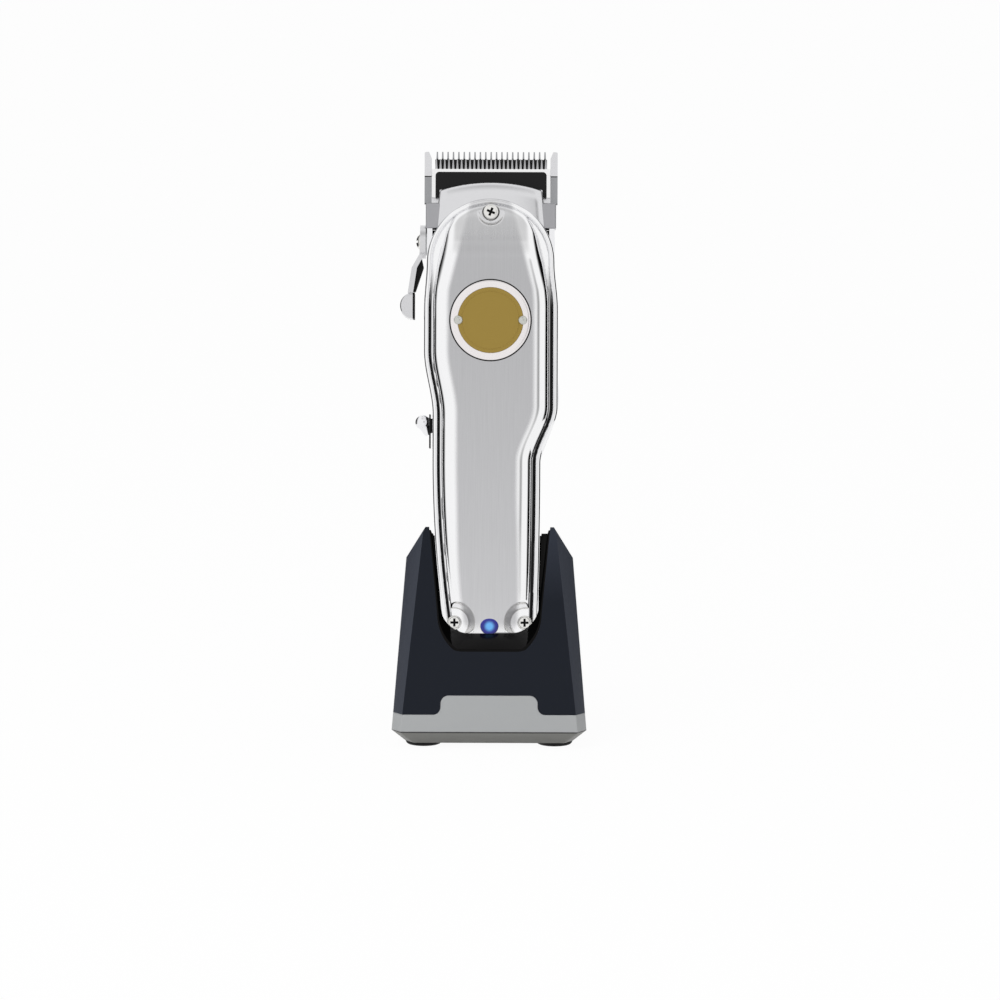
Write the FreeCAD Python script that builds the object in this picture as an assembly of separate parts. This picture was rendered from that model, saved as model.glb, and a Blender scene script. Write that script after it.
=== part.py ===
import FreeCAD, Part
import math
import os

from FreeCAD import Placement, Rotation, Vector

# Cordless hair clipper standing in its charging stand.
# World frame: Z up, X to the right as one faces the clipper's lid, Y away from that viewer,
# origin in the middle of the stand's footprint on the table. Millimetres and degrees.
# The clipper's own pieces are drawn in its own frame: X the same way, Z along the clipper from
# its tail to its blade tips, Y from the lid (minus) to the back of the grip (plus), with Y = 0
# on the parting plane between lid and housing. dock() puts them into the stand.

# ---- clearances ----
SEAT = 0.05              # a fixed piece in its bore or pocket
HOLE_PLAY = 0.15         # a screw or the lens in its through hole
RUN_FIT = 0.03           # a running shaft in its bush
LINK_GAP = 0.2           # play of the opened drive link and of sliding lugs
SLIDE_FIT = 0.08         # the taper pin in its slot
BLADE_RUN = 0.05         # cutter over fixed blade

# ---- clipper: battery, motor and drive set its length and depth ----
BATTERY_R = 9.15
BATTERY_LENGTH = 65.0
BATTERY_BOTTOM_Z = 13.0
BATTERY_TOP_Z = BATTERY_BOTTOM_Z + BATTERY_LENGTH
BATTERY_Y = BATTERY_R + 1.45
MOTOR_R = 12.0
MOTOR_LENGTH = 30.0
MOTOR_Y = MOTOR_R - 1.0  # the motor reaches a little into the lid
MOTOR_BOTTOM_Z = BATTERY_TOP_Z + 3.0
MOTOR_TOP_Z = MOTOR_BOTTOM_Z + MOTOR_LENGTH
DRIVE_LENGTH = 28.5      # from the motor to the nose, with the cam and the taper slide
NOSE_Z = MOTOR_TOP_Z + DRIVE_LENGTH      # top of the hollow housing, heel of the fixed blade

# ---- clipper: outline of the parting plane ----
GRIP_LEFT = 19.45        # half width of the grip, lever side
GRIP_RIGHT = 17.05       # half width of the grip, other side
NOSE_HALF = 21.6         # half width beside the blade seat
HEAD_LEFT = NOSE_HALF + 0.9              # half width over the motor, lever side
HEAD_RIGHT = NOSE_HALF + 1.2             # half width over the motor, other side
DRAFT_LEFT = 0.00131     # how fast the tail narrows, per mm of height squared
DRAFT_RIGHT = 0.0003
WAIST_Z = BATTERY_TOP_Z - 16.0           # top of the narrowing tail
STEP_LEFT_Z = BATTERY_TOP_Z - 2.0        # where the grip starts to swell, lever side
STEP_LEFT_RISE = 22.0
STEP_RIGHT_Z = BATTERY_TOP_Z - 18.0      # the deeper finger step on the other side
STEP_RIGHT_RISE = 19.0
TAIL_ROUND = 7.0         # corner radius of the tail end
NOSE_BLOCK = 8.8         # length of the solid blade seat above the hollow
BLADE_SHELF_Z = NOSE_Z + NOSE_BLOCK      # the wide part of the blade starts here
LID_OVER = 1.1           # how far the lid's round nose reaches past the blade seat
LID_TOP_Z = BLADE_SHELF_Z + LID_OVER
ARCH_Z = LID_TOP_Z - NOSE_HALF           # centre height of the lid's round nose
SHOULDER_FALL = 15.8     # length over which the head narrows to the nose
SHOULDER_Z = ARCH_Z - SHOULDER_FALL
HOUSING_WALL = 1.8
HOUSING_CORNER = 8.0     # radius of the two long back corners
GRIP_DEPTH = BATTERY_Y + BATTERY_R + 6.25        # behind the parting plane
HEAD_DEPTH = MOTOR_Y + MOTOR_R + 4.4             # greatest depth, round the motor
NOSE_DEPTH = 10.8
# depth of the housing behind the parting plane, station by station up the grip
DEPTHS = ((0.0, GRIP_DEPTH - 11.5), (0.5, GRIP_DEPTH - 9.4), (1.6, GRIP_DEPTH - 7.8),
          (3.5, GRIP_DEPTH - 6.2), (7.0, GRIP_DEPTH - 4.6), (17.0, GRIP_DEPTH - 2.8),
          (40.0, GRIP_DEPTH - 1.0), (WAIST_Z, GRIP_DEPTH), (WAIST_Z + 8.0, GRIP_DEPTH + 0.5),
          (NOSE_Z - 61.5, HEAD_DEPTH - 0.4), (NOSE_Z - 51.5, HEAD_DEPTH),
          (NOSE_Z - 39.5, HEAD_DEPTH), (NOSE_Z - 29.5, HEAD_DEPTH - 0.8),
          (NOSE_Z - 21.5, HEAD_DEPTH - 3.0), (NOSE_Z - 14.5, NOSE_DEPTH + 10.0),
          (NOSE_Z - 8.5, NOSE_DEPTH + 5.6), (NOSE_Z - 3.5, NOSE_DEPTH + 1.8),
          (NOSE_Z, NOSE_DEPTH))

# ---- lid ----
LID_WALL = 2.0
FLANGE = 1.8             # thickness of the lid's flat border
RIM_WIDTH = 2.0          # raised bead round the lid's edge
RIM_HEIGHT = 3.4
PANEL_INSET = 3.9        # border between the edge and the raised panel
PANEL_CORNER = 3.6       # rounding of the panel's long edges
PANEL_TOP = 11.0         # height of the raised panel over the parting plane
PANEL_NOSE_DROP = 2.4    # the panel runs into the rim this far below the top of the round nose
PANEL_NOSE_Z = LID_TOP_Z - PANEL_NOSE_DROP
# there the panel is a little wider than the round nose, which trims its corners
PANEL_NOSE_HALF = math.sqrt(NOSE_HALF ** 2 - (NOSE_HALF - PANEL_NOSE_DROP) ** 2) + 1.4
PANEL_TAPER = 29.0       # length over which the panel narrows
PANEL_TAPER_Z = PANEL_NOSE_Z - PANEL_TAPER
# height of the panel, station by station
CROWNS = ((1.6, PANEL_TOP - 4.6), (3.5, PANEL_TOP - 3.4), (7.0, PANEL_TOP - 2.2),
          (17.0, PANEL_TOP - 1.0), (40.0, PANEL_TOP), (WAIST_Z, PANEL_TOP),
          (WAIST_Z + 8.0, PANEL_TOP), (PANEL_NOSE_Z - 69.0, PANEL_TOP),
          (PANEL_NOSE_Z - 59.0, PANEL_TOP), (PANEL_NOSE_Z - 43.0, PANEL_TOP),
          (PANEL_TAPER_Z, PANEL_TOP), (PANEL_NOSE_Z - 19.0, PANEL_TOP - 0.2),
          (PANEL_NOSE_Z - 13.0, PANEL_TOP - 1.8), (PANEL_NOSE_Z - 8.0, RIM_HEIGHT + 3.4),
          (PANEL_NOSE_Z - 4.0, RIM_HEIGHT + 1.6), (PANEL_NOSE_Z, RIM_HEIGHT + 0.3))
PANEL_SOLID_Z = 14.0     # below this the panel is solid round the LED and the screws
PANEL_HOLLOW_TOP = PANEL_NOSE_Z - 11.0
LID_SCREW_X = 11.8
LID_SCREW_Z = 6.2
NOSE_SCREW_Z = LID_TOP_Z - 4.7
SCREW_HEAD_R = 2.45
SCREW_HEAD_H = 1.9
SCREW_SHANK_R = 1.25
SEAT_SUNK = 0.4          # the screw heads sit this far below the rim's top
LID_SEAT_Y = SEAT_SUNK - RIM_HEIGHT
LID_SCREW_LENGTH = 10.0
BOSS_R = 3.0
CORNER_RECESS_R = 6.8    # quarter round pocket round each lower lid screw
LED_Z = 5.1
LENS_R = 3.1
LENS_FLANGE_R = LENS_R + 0.5
LENS_FLANGE = 0.8
LENS_FRONT_Y = 2.1 - PANEL_TOP
LED_HEIGHT = 1.4
LED_HALF = 1.5

# ---- badge ----
BADGE_Z = MOTOR_TOP_Z - 3.4
BEZEL_R = 13.5
PLATE_R = 11.05
BADGE_DEPTH = 0.9        # depth of the pocket in the lid
BADGE_PROUD = 0.4
RIVET_X = PLATE_R - 0.25
RIVET_HEAD_R = 1.55
RIVET_HEAD_H = 0.9
RIVET_SHANK_R = 0.7
RIVET_TAIL = 0.4         # how far a rivet's shank comes through the lid

# ---- blades ----
BLADE_FACE_Y = 6.95      # the plane in which cutter and fixed blade meet
BLADE_THICK = 2.6
BLADE_HALF = NOSE_HALF + 1.0
BLADE_HEEL_HALF = NOSE_HALF - 2.6
BLADE_REACH = 17.9       # from the shelf to the tips
BLADE_TIP_Z = BLADE_SHELF_Z + BLADE_REACH
TOOTH_LENGTH = 8.0
BLADE_ROOT_Z = BLADE_TIP_Z - TOOTH_LENGTH
EDGE_THICK = 0.6         # thickness left at the tips of the fixed blade
EAR_WIDTH = 2.4
EAR_BEVEL = (0.9, 2.2)   # width and height of the ears' bevelled inner corners
FIXED_TEETH = 21
FIXED_TIP_HALF = 0.22
FIXED_ROOT_HALF = 0.55
FIXED_PITCH = 2 * (BLADE_HALF - EAR_WIDTH - 1.9) / (FIXED_TEETH - 1)
CUTTER_TEETH = 27
CUTTER_TIP_HALF = 0.16
CUTTER_ROOT_HALF = 0.42
CUTTER_HALF = BLADE_HALF - 2.5
CUTTER_PITCH = 2 * (CUTTER_HALF - 1.51) / (CUTTER_TEETH - 1)
CUTTER_THICK = 2.3
CUTTER_SETBACK = 2.7     # cutter tips behind the fixed tips at the closest setting
CUTTER_TIP_Z = BLADE_TIP_Z - CUTTER_SETBACK
CUTTER_ROOT_Z = CUTTER_TIP_Z - 3.4
CUTTER_BAR_Z = CUTTER_ROOT_Z - 1.0
CUTTER_LEG = 1.3
STROKE = 1.2             # cutter travel each way
BLADE_SCREW_X = 13.0
BLADE_SCREW_Z = NOSE_Z + 4.1
BLADE_SCREW_BITE = 4.8   # thread length in the nose block
BLADE_SCREW_HEAD_R = 2.8
BLADE_SCREW_HEAD_H = 1.6

# ---- taper adjustment ----
TAPER_ANGLE = 40.0       # swing of the lever
CRANK = 2.6              # throw of the taper eccentric
TAPER_TRAVEL = 2 * CRANK * math.sin(math.radians(TAPER_ANGLE / 2))
CRANK_PIN_R = 1.2
CRANK_SHAFT_R = 2.6
CRANK_WEB = 1.4          # thickness of the eccentric between shaft and pin
CRANK_WEB_GAP = 0.3
CRANK_PIN_LENGTH = 2.3
PIVOT_Z = NOSE_Z - 4.1
PIVOT_Y = 6.4
HUB_R = 5.7
HUB_THICK = 1.9
HUB_GAP = 0.45           # washer space between housing wall and hub
HUB_X = -NOSE_HALF - HUB_GAP             # inner face of the lever's hub
WASHER_R = 4.6
WASHER_GAP = 0.08
LEVER_WIDTH = 7.0
LEVER_THICK = 1.8
LEVER_BENDS = ((0.0, 0.0), (-0.3, -4.4), (-2.9, -9.0), (-4.2, -17.5))  # out and down
RIB_WIDTH = 3.0
RIB_DEPTH = (2.3, 0.8)   # how far the dark rib stands off the arm, at the elbow and below
PAD_R = 4.4
PAD_OVER = 2.4           # how much longer the pad is than the arm is wide
PAD_ROUND = 1.2
PAD_BACKING = 0.6
LEVER_SCREW_R = 1.4
LEVER_SCREW_HEAD_R = 2.85
LEVER_SCREW_HEAD_H = 1.5
LEVER_SCREW_BITE = 2.4
SLIDE_THICK = 1.2
RAIL_DROP = 7.9          # from the pivot down to the rail's lower edge
RAIL_HEIGHT = 5.0
RAIL_BOTTOM_Z = PIVOT_Z - RAIL_DROP
RAIL_TOP_Z = RAIL_BOTTOM_Z + RAIL_HEIGHT
CHEEK_INSET = 2.1        # air between housing wall and the slide's cheeks
CHEEK_HALF = 2.6         # half width of the tongue round the pin slot
SLOT_REACH = 1.6         # half length of the pin slot

# ---- nose ----
HOOD_BACK_Y = 3.2        # underside of the nose hood
HOOD_HALF = NOSE_HALF - 3.0
HOOD_TOP_HALF = HOOD_HALF - 1.2
HOOD_SHOULDER_Z = BLADE_SHELF_Z + 4.5
HOOD_TOP_Z = BLADE_SHELF_Z + 7.0
HOOD_ROUND = 1.6
GUIDE_BOTTOM_Z = BLADE_SHELF_Z + TAPER_TRAVEL + 0.3

# ---- electrics ----
BATTERY_TIP_R = 3.0
BATTERY_TIP_H = 1.0
CRADLE_RIB = 2.5
CRADLE_LOW_Z = BATTERY_BOTTOM_Z + 3.0
CRADLE_HIGH_Z = BATTERY_TOP_Z - 23.0
CRADLE_RAIL_X = BATTERY_R + 2.45
CRADLE_RAIL_HALF = 1.5
CRADLE_RAIL_Y = 1.0
CRADLE_RAIL_DEPTH = 3.0
BOARD_THICK = 1.6
BOARD_SHOULDER = 4.6     # the board is at full width this far above the solid tail
BOARD_EDGE_GAP = 0.38    # air between the board and the lid's hollow, beyond the wall
BOARD_TAIL_HALF = 4.1    # narrow tongue between the lid screw bosses, carrying the LED
BOARD_BOTTOM_Z = 2.6
BOARD_TOP_Z = BATTERY_TOP_Z - 20.0
SOCKET_Y = 9.0
SOCKET_R = 4.2
SOCKET_BORE_R = 2.9
SOCKET_LENGTH = 10.0
SOCKET_PIN_R = 0.8
PLUG_PLAY = 0.3

# ---- motor and drive ----
CAN_WALL = 1.2
END_CAP = 3.0
BUSH_R = 2.0
BUSH_BOSS_R = 3.0
BUSH_BOSS = 1.0
BUSH_REST = 0.4          # the lower bush stands on this much of the boss
MAGNET_THICK = 2.6
MAGNET_GAP = 2.5         # half of the slot between the two magnets
MAGNET_START = 4.0
MAGNET_END = 2.0
AIR_GAP = 0.5
ARMATURE_SETBACK = 2.0   # the armature is this much shorter than the magnets at each end
POLE_SLOT = 0.7
DRUM_R = 2.6
DRUM_START = 1.5
DRUM_LENGTH = 4.5
BRACKET_THICK = 3.0
BRACKET_FRONT_Y = 0.4
SHAFT_R = 1.0
SHAFT_STOP = 0.6         # metal left over the shaft's end in the cam
CAM_R = 4.4
CAM_HEIGHT = 3.6
CAM_GAP = 1.6            # shaft showing between motor and cam
CAM_BOTTOM_Z = MOTOR_TOP_Z + CAM_GAP
CAM_TOP_Z = CAM_BOTTOM_Z + CAM_HEIGHT
PIN_R = 1.5
TINE_BOTTOM_Z = CAM_TOP_Z + TAPER_TRAVEL + 0.6
TINE_LENGTH = 5.4
TINE_TOP_Z = TINE_BOTTOM_Z + TINE_LENGTH
TINE_WIDTH = 1.8
PIN_TOP_Z = TINE_TOP_Z + 0.4
ARM_HALF = 4.5
SPRING_SPACE = 0.8       # room for the tension spring between hood and arm
ARM_FRONT_Y = HOOD_BACK_Y + SPRING_SPACE
ARM_BACK_Y = BLADE_FACE_Y - 0.1
ARM_SLOT_HALF = ARM_HALF + STROKE + 0.9  # slot for the drive arm through the nose block
LUG_HEIGHT = 1.5
LUG_DEPTH = 1.0
SPRING_HALF = 4.0
SPRING_BAR_HALF = 12.0
SPRING_BAR = 2.0

# ---- power switch ----
KNOB_Z = BATTERY_TOP_Z - 4.0
KNOB_R = 2.5
SWITCH_Y = 4.5
SWITCH_TRAVEL = 3.6
STRIP_GAP = 0.7          # air between housing wall and cover strip
STRIP_THICK = 0.5
STRIP_HALF = 2.4
STRIP_X = -GRIP_LEFT - STRIP_GAP - STRIP_THICK   # outer face of the cover strip
STRIP_BELOW = 8.8
STRIP_ABOVE = 2.6
KNOB_OUT = KNOB_R - 0.25 - STRIP_X       # distance of the ball's centre from the axis
KNOB_TAIL = 4.4
NECK_HALF = 1.0
NECK_BELOW = 3.6
NECK_ABOVE = 1.2
NECK_SIDE_PLAY = 0.2
NECK_END_PLAY = 0.4
SLIDER_GAP = 0.3
SLIDER_THICK = 1.8
SWITCH_BASE_GAP = 0.1
SWITCH_BASE_DEPTH = 4.4
SWITCH_BASE_HALF = 3.2
SWITCH_BASE_BELOW = 10.0
SWITCH_BASE_ABOVE = 5.0

# ---- stand ----
LEAN = 10.0              # the docked clipper and the stand's front lean back by this
BASE_HALF_DEPTH = 41.0
TAIL_Y = 23.0 - BASE_HALF_DEPTH          # where the clipper's tail stands in the world
TAIL_Z = 33.1
BASE_HALF_WIDTH = 32.5
REAR_LEAN = 16.0
SIDE_LEAN = 4.7
STAND_WALL = 2.4
FOOT_R = 6.1
FOOT_H = 1.8
FOOT_SUNK = 0.8
FOOT_ROUND = 1.2
PAN_TOP_Z = 6.3
PAN_BEVEL = 4.5
FOOT_X = BASE_HALF_WIDTH - PAN_BEVEL - FOOT_R
FOOT_Y = BASE_HALF_DEPTH - PAN_BEVEL - FOOT_R - 2.4
PAN_FLOOR = 2.0
BAND_TOP_Z = 12.0
TAB_TOP_Z = 18.3
TAB_HALF = 16.2
TAB_CORNER = 2.7
CRADLE_CLEAR = 0.6       # air between the docked clipper and its cradle
CRADLE_WALL = 1.6
LIP_Y = -9.2             # inner edge of the cradle's bevelled lip, in the clipper's frame
LIP_RIM = 0.4            # flat edge left round the lip's front
MOUTH_TOP = 38.0         # height at which the notch has the half widths below
# front opening of the stand and the lip's inner edge, in the clipper's frame
NOTCH = {"floor_z": -3.6, "floor_half": 11.3, "bend": (15.6, 1.6), "side_z": 8.9,
         "side_half": GRIP_LEFT - 2.05, "top_half": GRIP_LEFT + 0.75}
LIP = {"floor_z": 2.5, "floor_half": 6.5, "bend": (13.4, 5.2), "side_z": 11.0,
       "side_half": GRIP_LEFT - 2.95, "top_half": GRIP_LEFT + 0.25}
CRADLE_FLOOR_Z = NOTCH["floor_z"] - CRADLE_WALL  # underside of the cradle
HORN_Z = 73.6
HORN_OUT = GRIP_LEFT + 1.95
SHOULDER_OUT = HORN_OUT + 6.2
SHOULDER_DROP = 9.5
STAND_SHOULDER_Z = HORN_Z - SHOULDER_DROP
ROOF_FALL = 12.0
FACET_LOW = 3.6          # the corner facets take this off the front face at its foot
FACET_LOW_X = BASE_HALF_WIDTH - FACET_LOW
FACET_HIGH_X = HORN_OUT + 1.2
FACET_HIGH_Z = HORN_Z - 5.6
FACET_DEPTH = 4.6
BASE_SCREW_X = BASE_HALF_WIDTH - 10.0
BASE_SCREW_Y = 15.0
BASE_SCREW_R = 1.4
BASE_SCREW_HEAD_R = 2.6
BASE_SCREW_HEAD_H = 1.6
BASE_SCREW_LENGTH = 14.0
BASE_SCREW_SUNK = 1.9    # depth of the pockets for the heads
POST_R = 3.2
POST_TOP_Z = 23.0
POST_RIB = 1.0
POST_END = 3.0           # solid end of each post above its hole
INLET_Z = 19.0
INLET_R = 4.6
INLET_BORE_R = 2.9
INLET_PIN_R = 0.9
INLET_LENGTH = 12.0
INLET_SUNK = 0.8
BALLAST_HALF = BASE_SCREW_X - POST_R - 0.3
BALLAST_FRONT = BASE_HALF_DEPTH - 17.0
BALLAST_BACK = BASE_HALF_DEPTH - 19.0
BALLAST_HEIGHT = 5.0
STAND_BOARD_HALF = 13.0
STAND_BOARD_DEPTH = 11.0
CHIP_X = 7.0             # the stand board's one chip: place, half size and height
CHIP_Y = 5.0
CHIP_HALF = 3.0
CHIP_HEIGHT = 2.4

FAR = 300.0
X_AXIS = Vector(1, 0, 0)
Y_AXIS = Vector(0, 1, 0)
Z_AXIS = Vector(0, 0, 1)


# ---- small builders ----
def box(x0, x1, y0, y1, z0, z1):
    return Part.makeBox(x1 - x0, y1 - y0, z1 - z0, Vector(x0, y0, z0))


def rod(radius, start, end):
    axis = end - start
    return Part.makeCylinder(radius, axis.Length, start, axis)


def rod_y(radius, x, z, y0, y1):
    return rod(radius, Vector(x, y0, z), Vector(x, y1, z))


def rod_z(radius, x, y, z0, z1):
    return rod(radius, Vector(x, y, z0), Vector(x, y, z1))


def rod_x(radius, y, z, x0, x1):
    return rod(radius, Vector(x0, y, z), Vector(x1, y, z))


def plate(points, direction):
    """A closed polygon of points swept along a direction."""
    wire = Part.makePolygon(list(points) + [points[0]])
    return Part.Face(wire).extrude(direction)


def fuse(first, *others):
    return first.multiFuse(list(others)).removeSplitter()


def cross_recess(head_face, towards, size, depth):
    """The crossed drive slots in a screw head that faces along minus `towards`."""
    side = X_AXIS if abs(towards.x) < 0.5 else Y_AXIS
    other = towards.cross(side)
    slots = []
    for long_way, short_way in ((side, other), (other, side)):
        a = long_way * size
        b = short_way * (size * 0.28)
        corners = [head_face + a + b, head_face - a + b, head_face - a - b, head_face + a - b]
        slots.append(plate(corners, towards * depth))
    return slots[0].fuse(slots[1])


def screw(head_base, towards, head_r, head_h, shank_r, length):
    """A pan head screw: the head stands on head_base, the shank runs along `towards`."""
    head = Part.makeCylinder(head_r, head_h, head_base - towards * head_h, towards)
    far_edges = [e for e in head.Edges if e.Closed and
                 abs((e.CenterOfMass - head_base).dot(towards) + head_h) < 0.01]
    head = head.makeFillet(head_h * 0.45, far_edges)
    shank = Part.makeCylinder(shank_r, length, head_base, towards)
    drive = cross_recess(head_base - towards * head_h, towards, head_r * 0.55, head_h * 0.6)
    return head.fuse(shank).cut(drive)


# ---- clipper outline ----
def step(z, start, rise):
    t = min(1.0, max(0.0, (z - start) / rise))
    return t * t * (3 - 2 * t)


def tail_rounding(z):
    short = TAIL_ROUND - z
    return TAIL_ROUND - math.sqrt(TAIL_ROUND ** 2 - short ** 2) if short > 0 else 0.0


def left_half(z):
    grip = GRIP_LEFT - DRAFT_LEFT * max(0.0, WAIST_Z - z) ** 2
    head = (HEAD_LEFT - GRIP_LEFT) * step(z, STEP_LEFT_Z, STEP_LEFT_RISE)
    nose = (HEAD_LEFT - NOSE_HALF) * step(z, SHOULDER_Z, ARCH_Z - SHOULDER_Z)
    return grip + head - nose - tail_rounding(z)


def right_half(z):
    grip = GRIP_RIGHT - DRAFT_RIGHT * max(0.0, WAIST_Z - z) ** 2
    head = (HEAD_RIGHT - GRIP_RIGHT) * step(z, STEP_RIGHT_Z, STEP_RIGHT_RISE)
    nose = (HEAD_RIGHT - NOSE_HALF) * step(z, SHOULDER_Z, ARCH_Z - SHOULDER_Z)
    return grip + head - nose - tail_rounding(z)


def curve(points):
    spline = Part.BSplineCurve()
    spline.interpolate(points)
    return spline.toShape()


def lid_outline(inset, y):
    """The lid's edge, moved inwards by inset, as a closed wire at height y."""
    round_r = TAIL_ROUND - inset
    heights = [TAIL_ROUND + (ARCH_Z - TAIL_ROUND) * i / 24 for i in range(25)]
    left = [Vector(-left_half(z) + inset, y, z) for z in heights]
    right = [Vector(right_half(z) - inset, y, z) for z in reversed(heights)]
    arch = Part.Arc(left[-1], Vector(0, y, ARCH_Z + NOSE_HALF - inset), right[0]).toShape()
    tail_left = left[0] + Vector(round_r, 0, -round_r)
    tail_right = right[-1] + Vector(-round_r, 0, -round_r)
    bend = round_r * (1 - math.sqrt(0.5))
    corner_right = Part.Arc(right[-1], right[-1] + Vector(-bend, 0, bend - round_r),
                            tail_right).toShape()
    corner_left = Part.Arc(tail_left, left[0] + Vector(bend, 0, bend - round_r),
                           left[0]).toShape()
    tail = Part.makeLine(tail_right, tail_left)
    return Part.Wire([curve(left), arch, curve(right), corner_right, tail, corner_left])


def lid_layer(inset, y0, y1):
    return Part.Face(lid_outline(inset, y0)).extrude(Vector(0, y1 - y0, 0))


def section(z, left, right, open_y, closed_y, corner):
    """One cross section: open straight edge at open_y, rounded corners at closed_y."""
    back = 1 if closed_y > open_y else -1
    bend = corner * (1 - math.sqrt(0.5))
    a = Vector(-left, open_y, z)
    b = Vector(-left, closed_y - back * corner, z)
    c = Vector(-left + corner, closed_y, z)
    d = Vector(right - corner, closed_y, z)
    e = Vector(right, closed_y - back * corner, z)
    f = Vector(right, open_y, z)
    left_mid = Vector(-left + bend, closed_y - back * bend, z)
    right_mid = Vector(right - bend, closed_y - back * bend, z)
    return Part.Wire([Part.makeLine(a, b), Part.Arc(b, left_mid, c).toShape(),
                      Part.makeLine(c, d), Part.Arc(d, right_mid, e).toShape(),
                      Part.makeLine(e, f), Part.makeLine(f, a)])


def housing_form(inset, open_y=0.0, top_z=NOSE_Z):
    """The housing's outer form, or its hollow with a positive inset."""
    wires = []
    for z, depth in DEPTHS:
        if z > top_z:
            break
        corner = min(HOUSING_CORNER, 0.45 * depth)
        wires.append(section(z, left_half(z) - inset, right_half(z) - inset, open_y,
                             depth - inset, max(1.0, corner - inset)))
    return Part.makeLoft(wires, True, False)


def panel_half(half, z):
    side = half(min(z, PANEL_TAPER_Z)) - PANEL_INSET
    share = max(0.0, (z - PANEL_TAPER_Z) / (PANEL_NOSE_Z - PANEL_TAPER_Z))
    return side + (PANEL_NOSE_HALF - side) * share


def panel_form(inset, open_y):
    """The raised panel of the lid, or its hollow with a positive inset."""
    wires = []
    for z, crown in CROWNS:
        height = crown - inset
        corner = max(0.8, min(PANEL_CORNER, 0.8 * crown) - inset)
        wires.append(section(z, panel_half(left_half, z) - inset, panel_half(right_half, z) - inset,
                             open_y, -height, corner))
    return Part.makeLoft(wires, True, False)


# ---- clipper pieces ----
def make_lid():
    panel = panel_form(0.0, -FLANGE / 2).common(lid_layer(RIM_WIDTH / 2, 0, -FAR / 4))
    rim = lid_layer(0, 0, -RIM_HEIGHT).cut(lid_layer(RIM_WIDTH, 0, -RIM_HEIGHT))
    lid = fuse(lid_layer(0, 0, -FLANGE), rim, panel)
    hollow = panel_form(LID_WALL, 1.0).common(
        box(-FAR, FAR, -FAR, FAR, PANEL_SOLID_Z, PANEL_HOLLOW_TOP))
    lid = lid.cut(hollow)
    # corner pockets stop at the rim; the screw heads then sink into it
    for x in (-LID_SCREW_X, LID_SCREW_X):
        lid = lid.cut(rod_y(CORNER_RECESS_R, x, LID_SCREW_Z, -FAR / 4, LID_SEAT_Y))
    lid = lid.fuse(rim)
    for x, z, head_room in screw_places():
        lid = lid.cut(rod_y(SCREW_HEAD_R + head_room, x, z, -FAR / 4, LID_SEAT_Y))
        lid = lid.cut(rod_y(SCREW_SHANK_R + HOLE_PLAY, x, z, LID_SEAT_Y, 1))
    lid = lid.cut(rod_y(BEZEL_R + HOLE_PLAY, 0, BADGE_Z, -FAR / 4, BADGE_DEPTH - PANEL_TOP))
    for x in (-RIVET_X, RIVET_X):
        lid = lid.cut(rod_y(RIVET_SHANK_R, x, BADGE_Z, -FAR / 4, 1))
    lid = lid.cut(rod_y(LENS_R + HOLE_PLAY, 0, LED_Z, -FAR / 4, 1))
    tongue = BOARD_TAIL_HALF + HOLE_PLAY
    lid = lid.cut(box(-tongue, tongue, lens_back_y() - LENS_FLANGE, 1,
                      LED_Z - LENS_FLANGE_R - HOLE_PLAY, PANEL_SOLID_Z + 1))
    return lid.removeSplitter()


def screw_places():
    """Centres of the lid screws, each with the room round its head."""
    return ((-LID_SCREW_X, LID_SCREW_Z, HOLE_PLAY), (LID_SCREW_X, LID_SCREW_Z, HOLE_PLAY),
            (0.0, NOSE_SCREW_Z, 0.5))


def make_lid_screws():
    lower = [screw(Vector(x, LID_SEAT_Y, LID_SCREW_Z), Y_AXIS, SCREW_HEAD_R, SCREW_HEAD_H,
                   SCREW_SHANK_R, LID_SCREW_LENGTH) for x in (-LID_SCREW_X, LID_SCREW_X)]
    upper = screw(Vector(0, LID_SEAT_Y, NOSE_SCREW_Z), Y_AXIS, SCREW_HEAD_R, SCREW_HEAD_H,
                  SCREW_SHANK_R, HOOD_BACK_Y - LID_SEAT_Y - 0.4)
    return Part.makeCompound(lower + [upper])


def badge_disc(radius):
    disc = rod_y(radius, 0, BADGE_Z, -PANEL_TOP - BADGE_PROUD, BADGE_DEPTH - PANEL_TOP)
    for x in (-RIVET_X, RIVET_X):
        disc = disc.cut(rod_y(RIVET_SHANK_R, x, BADGE_Z, -FAR / 4, 0))
    return disc


def make_badge_bezel():
    hole = rod_y(PLATE_R + SEAT, 0, BADGE_Z, -FAR / 4, 0)
    return badge_disc(BEZEL_R).cut(hole)


def make_badge_plate():
    return badge_disc(PLATE_R)


def dome(base, towards, radius, height):
    """Round cap that rises from a flat base along a direction."""
    ball_r = (radius ** 2 + height ** 2) / (2 * height)
    ball = Part.makeSphere(ball_r, base + towards * (height - ball_r))
    keep = Part.makeCylinder(radius + 1, height + 1, base, towards)
    return ball.common(keep)


def make_badge_rivets():
    face = -PANEL_TOP - BADGE_PROUD
    rivets = []
    for x in (-RIVET_X, RIVET_X):
        shank = rod_y(RIVET_SHANK_R, x, BADGE_Z, face, RIVET_TAIL + LID_WALL - PANEL_TOP)
        rivets.append(shank.fuse(dome(Vector(x, face, BADGE_Z), -Y_AXIS, RIVET_HEAD_R,
                                      RIVET_HEAD_H)))
    return Part.makeCompound(rivets)


def lens_back_y():
    return -BOARD_THICK - LED_HEIGHT


def make_led_lens():
    back = lens_back_y()
    lens = rod_y(LENS_R, 0, LED_Z, LENS_FRONT_Y, back - LENS_FLANGE)
    lens = lens.makeFillet(0.8, [e for e in lens.Edges if e.Closed and
                                 abs(e.CenterOfMass.y - LENS_FRONT_Y) < 0.01])
    return lens.fuse(rod_y(LENS_FLANGE_R, 0, LED_Z, back - LENS_FLANGE, back))


def make_status_led():
    return box(-LED_HALF, LED_HALF, lens_back_y(), -BOARD_THICK, LED_Z - LED_HALF,
               LED_Z + LED_HALF)


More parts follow.
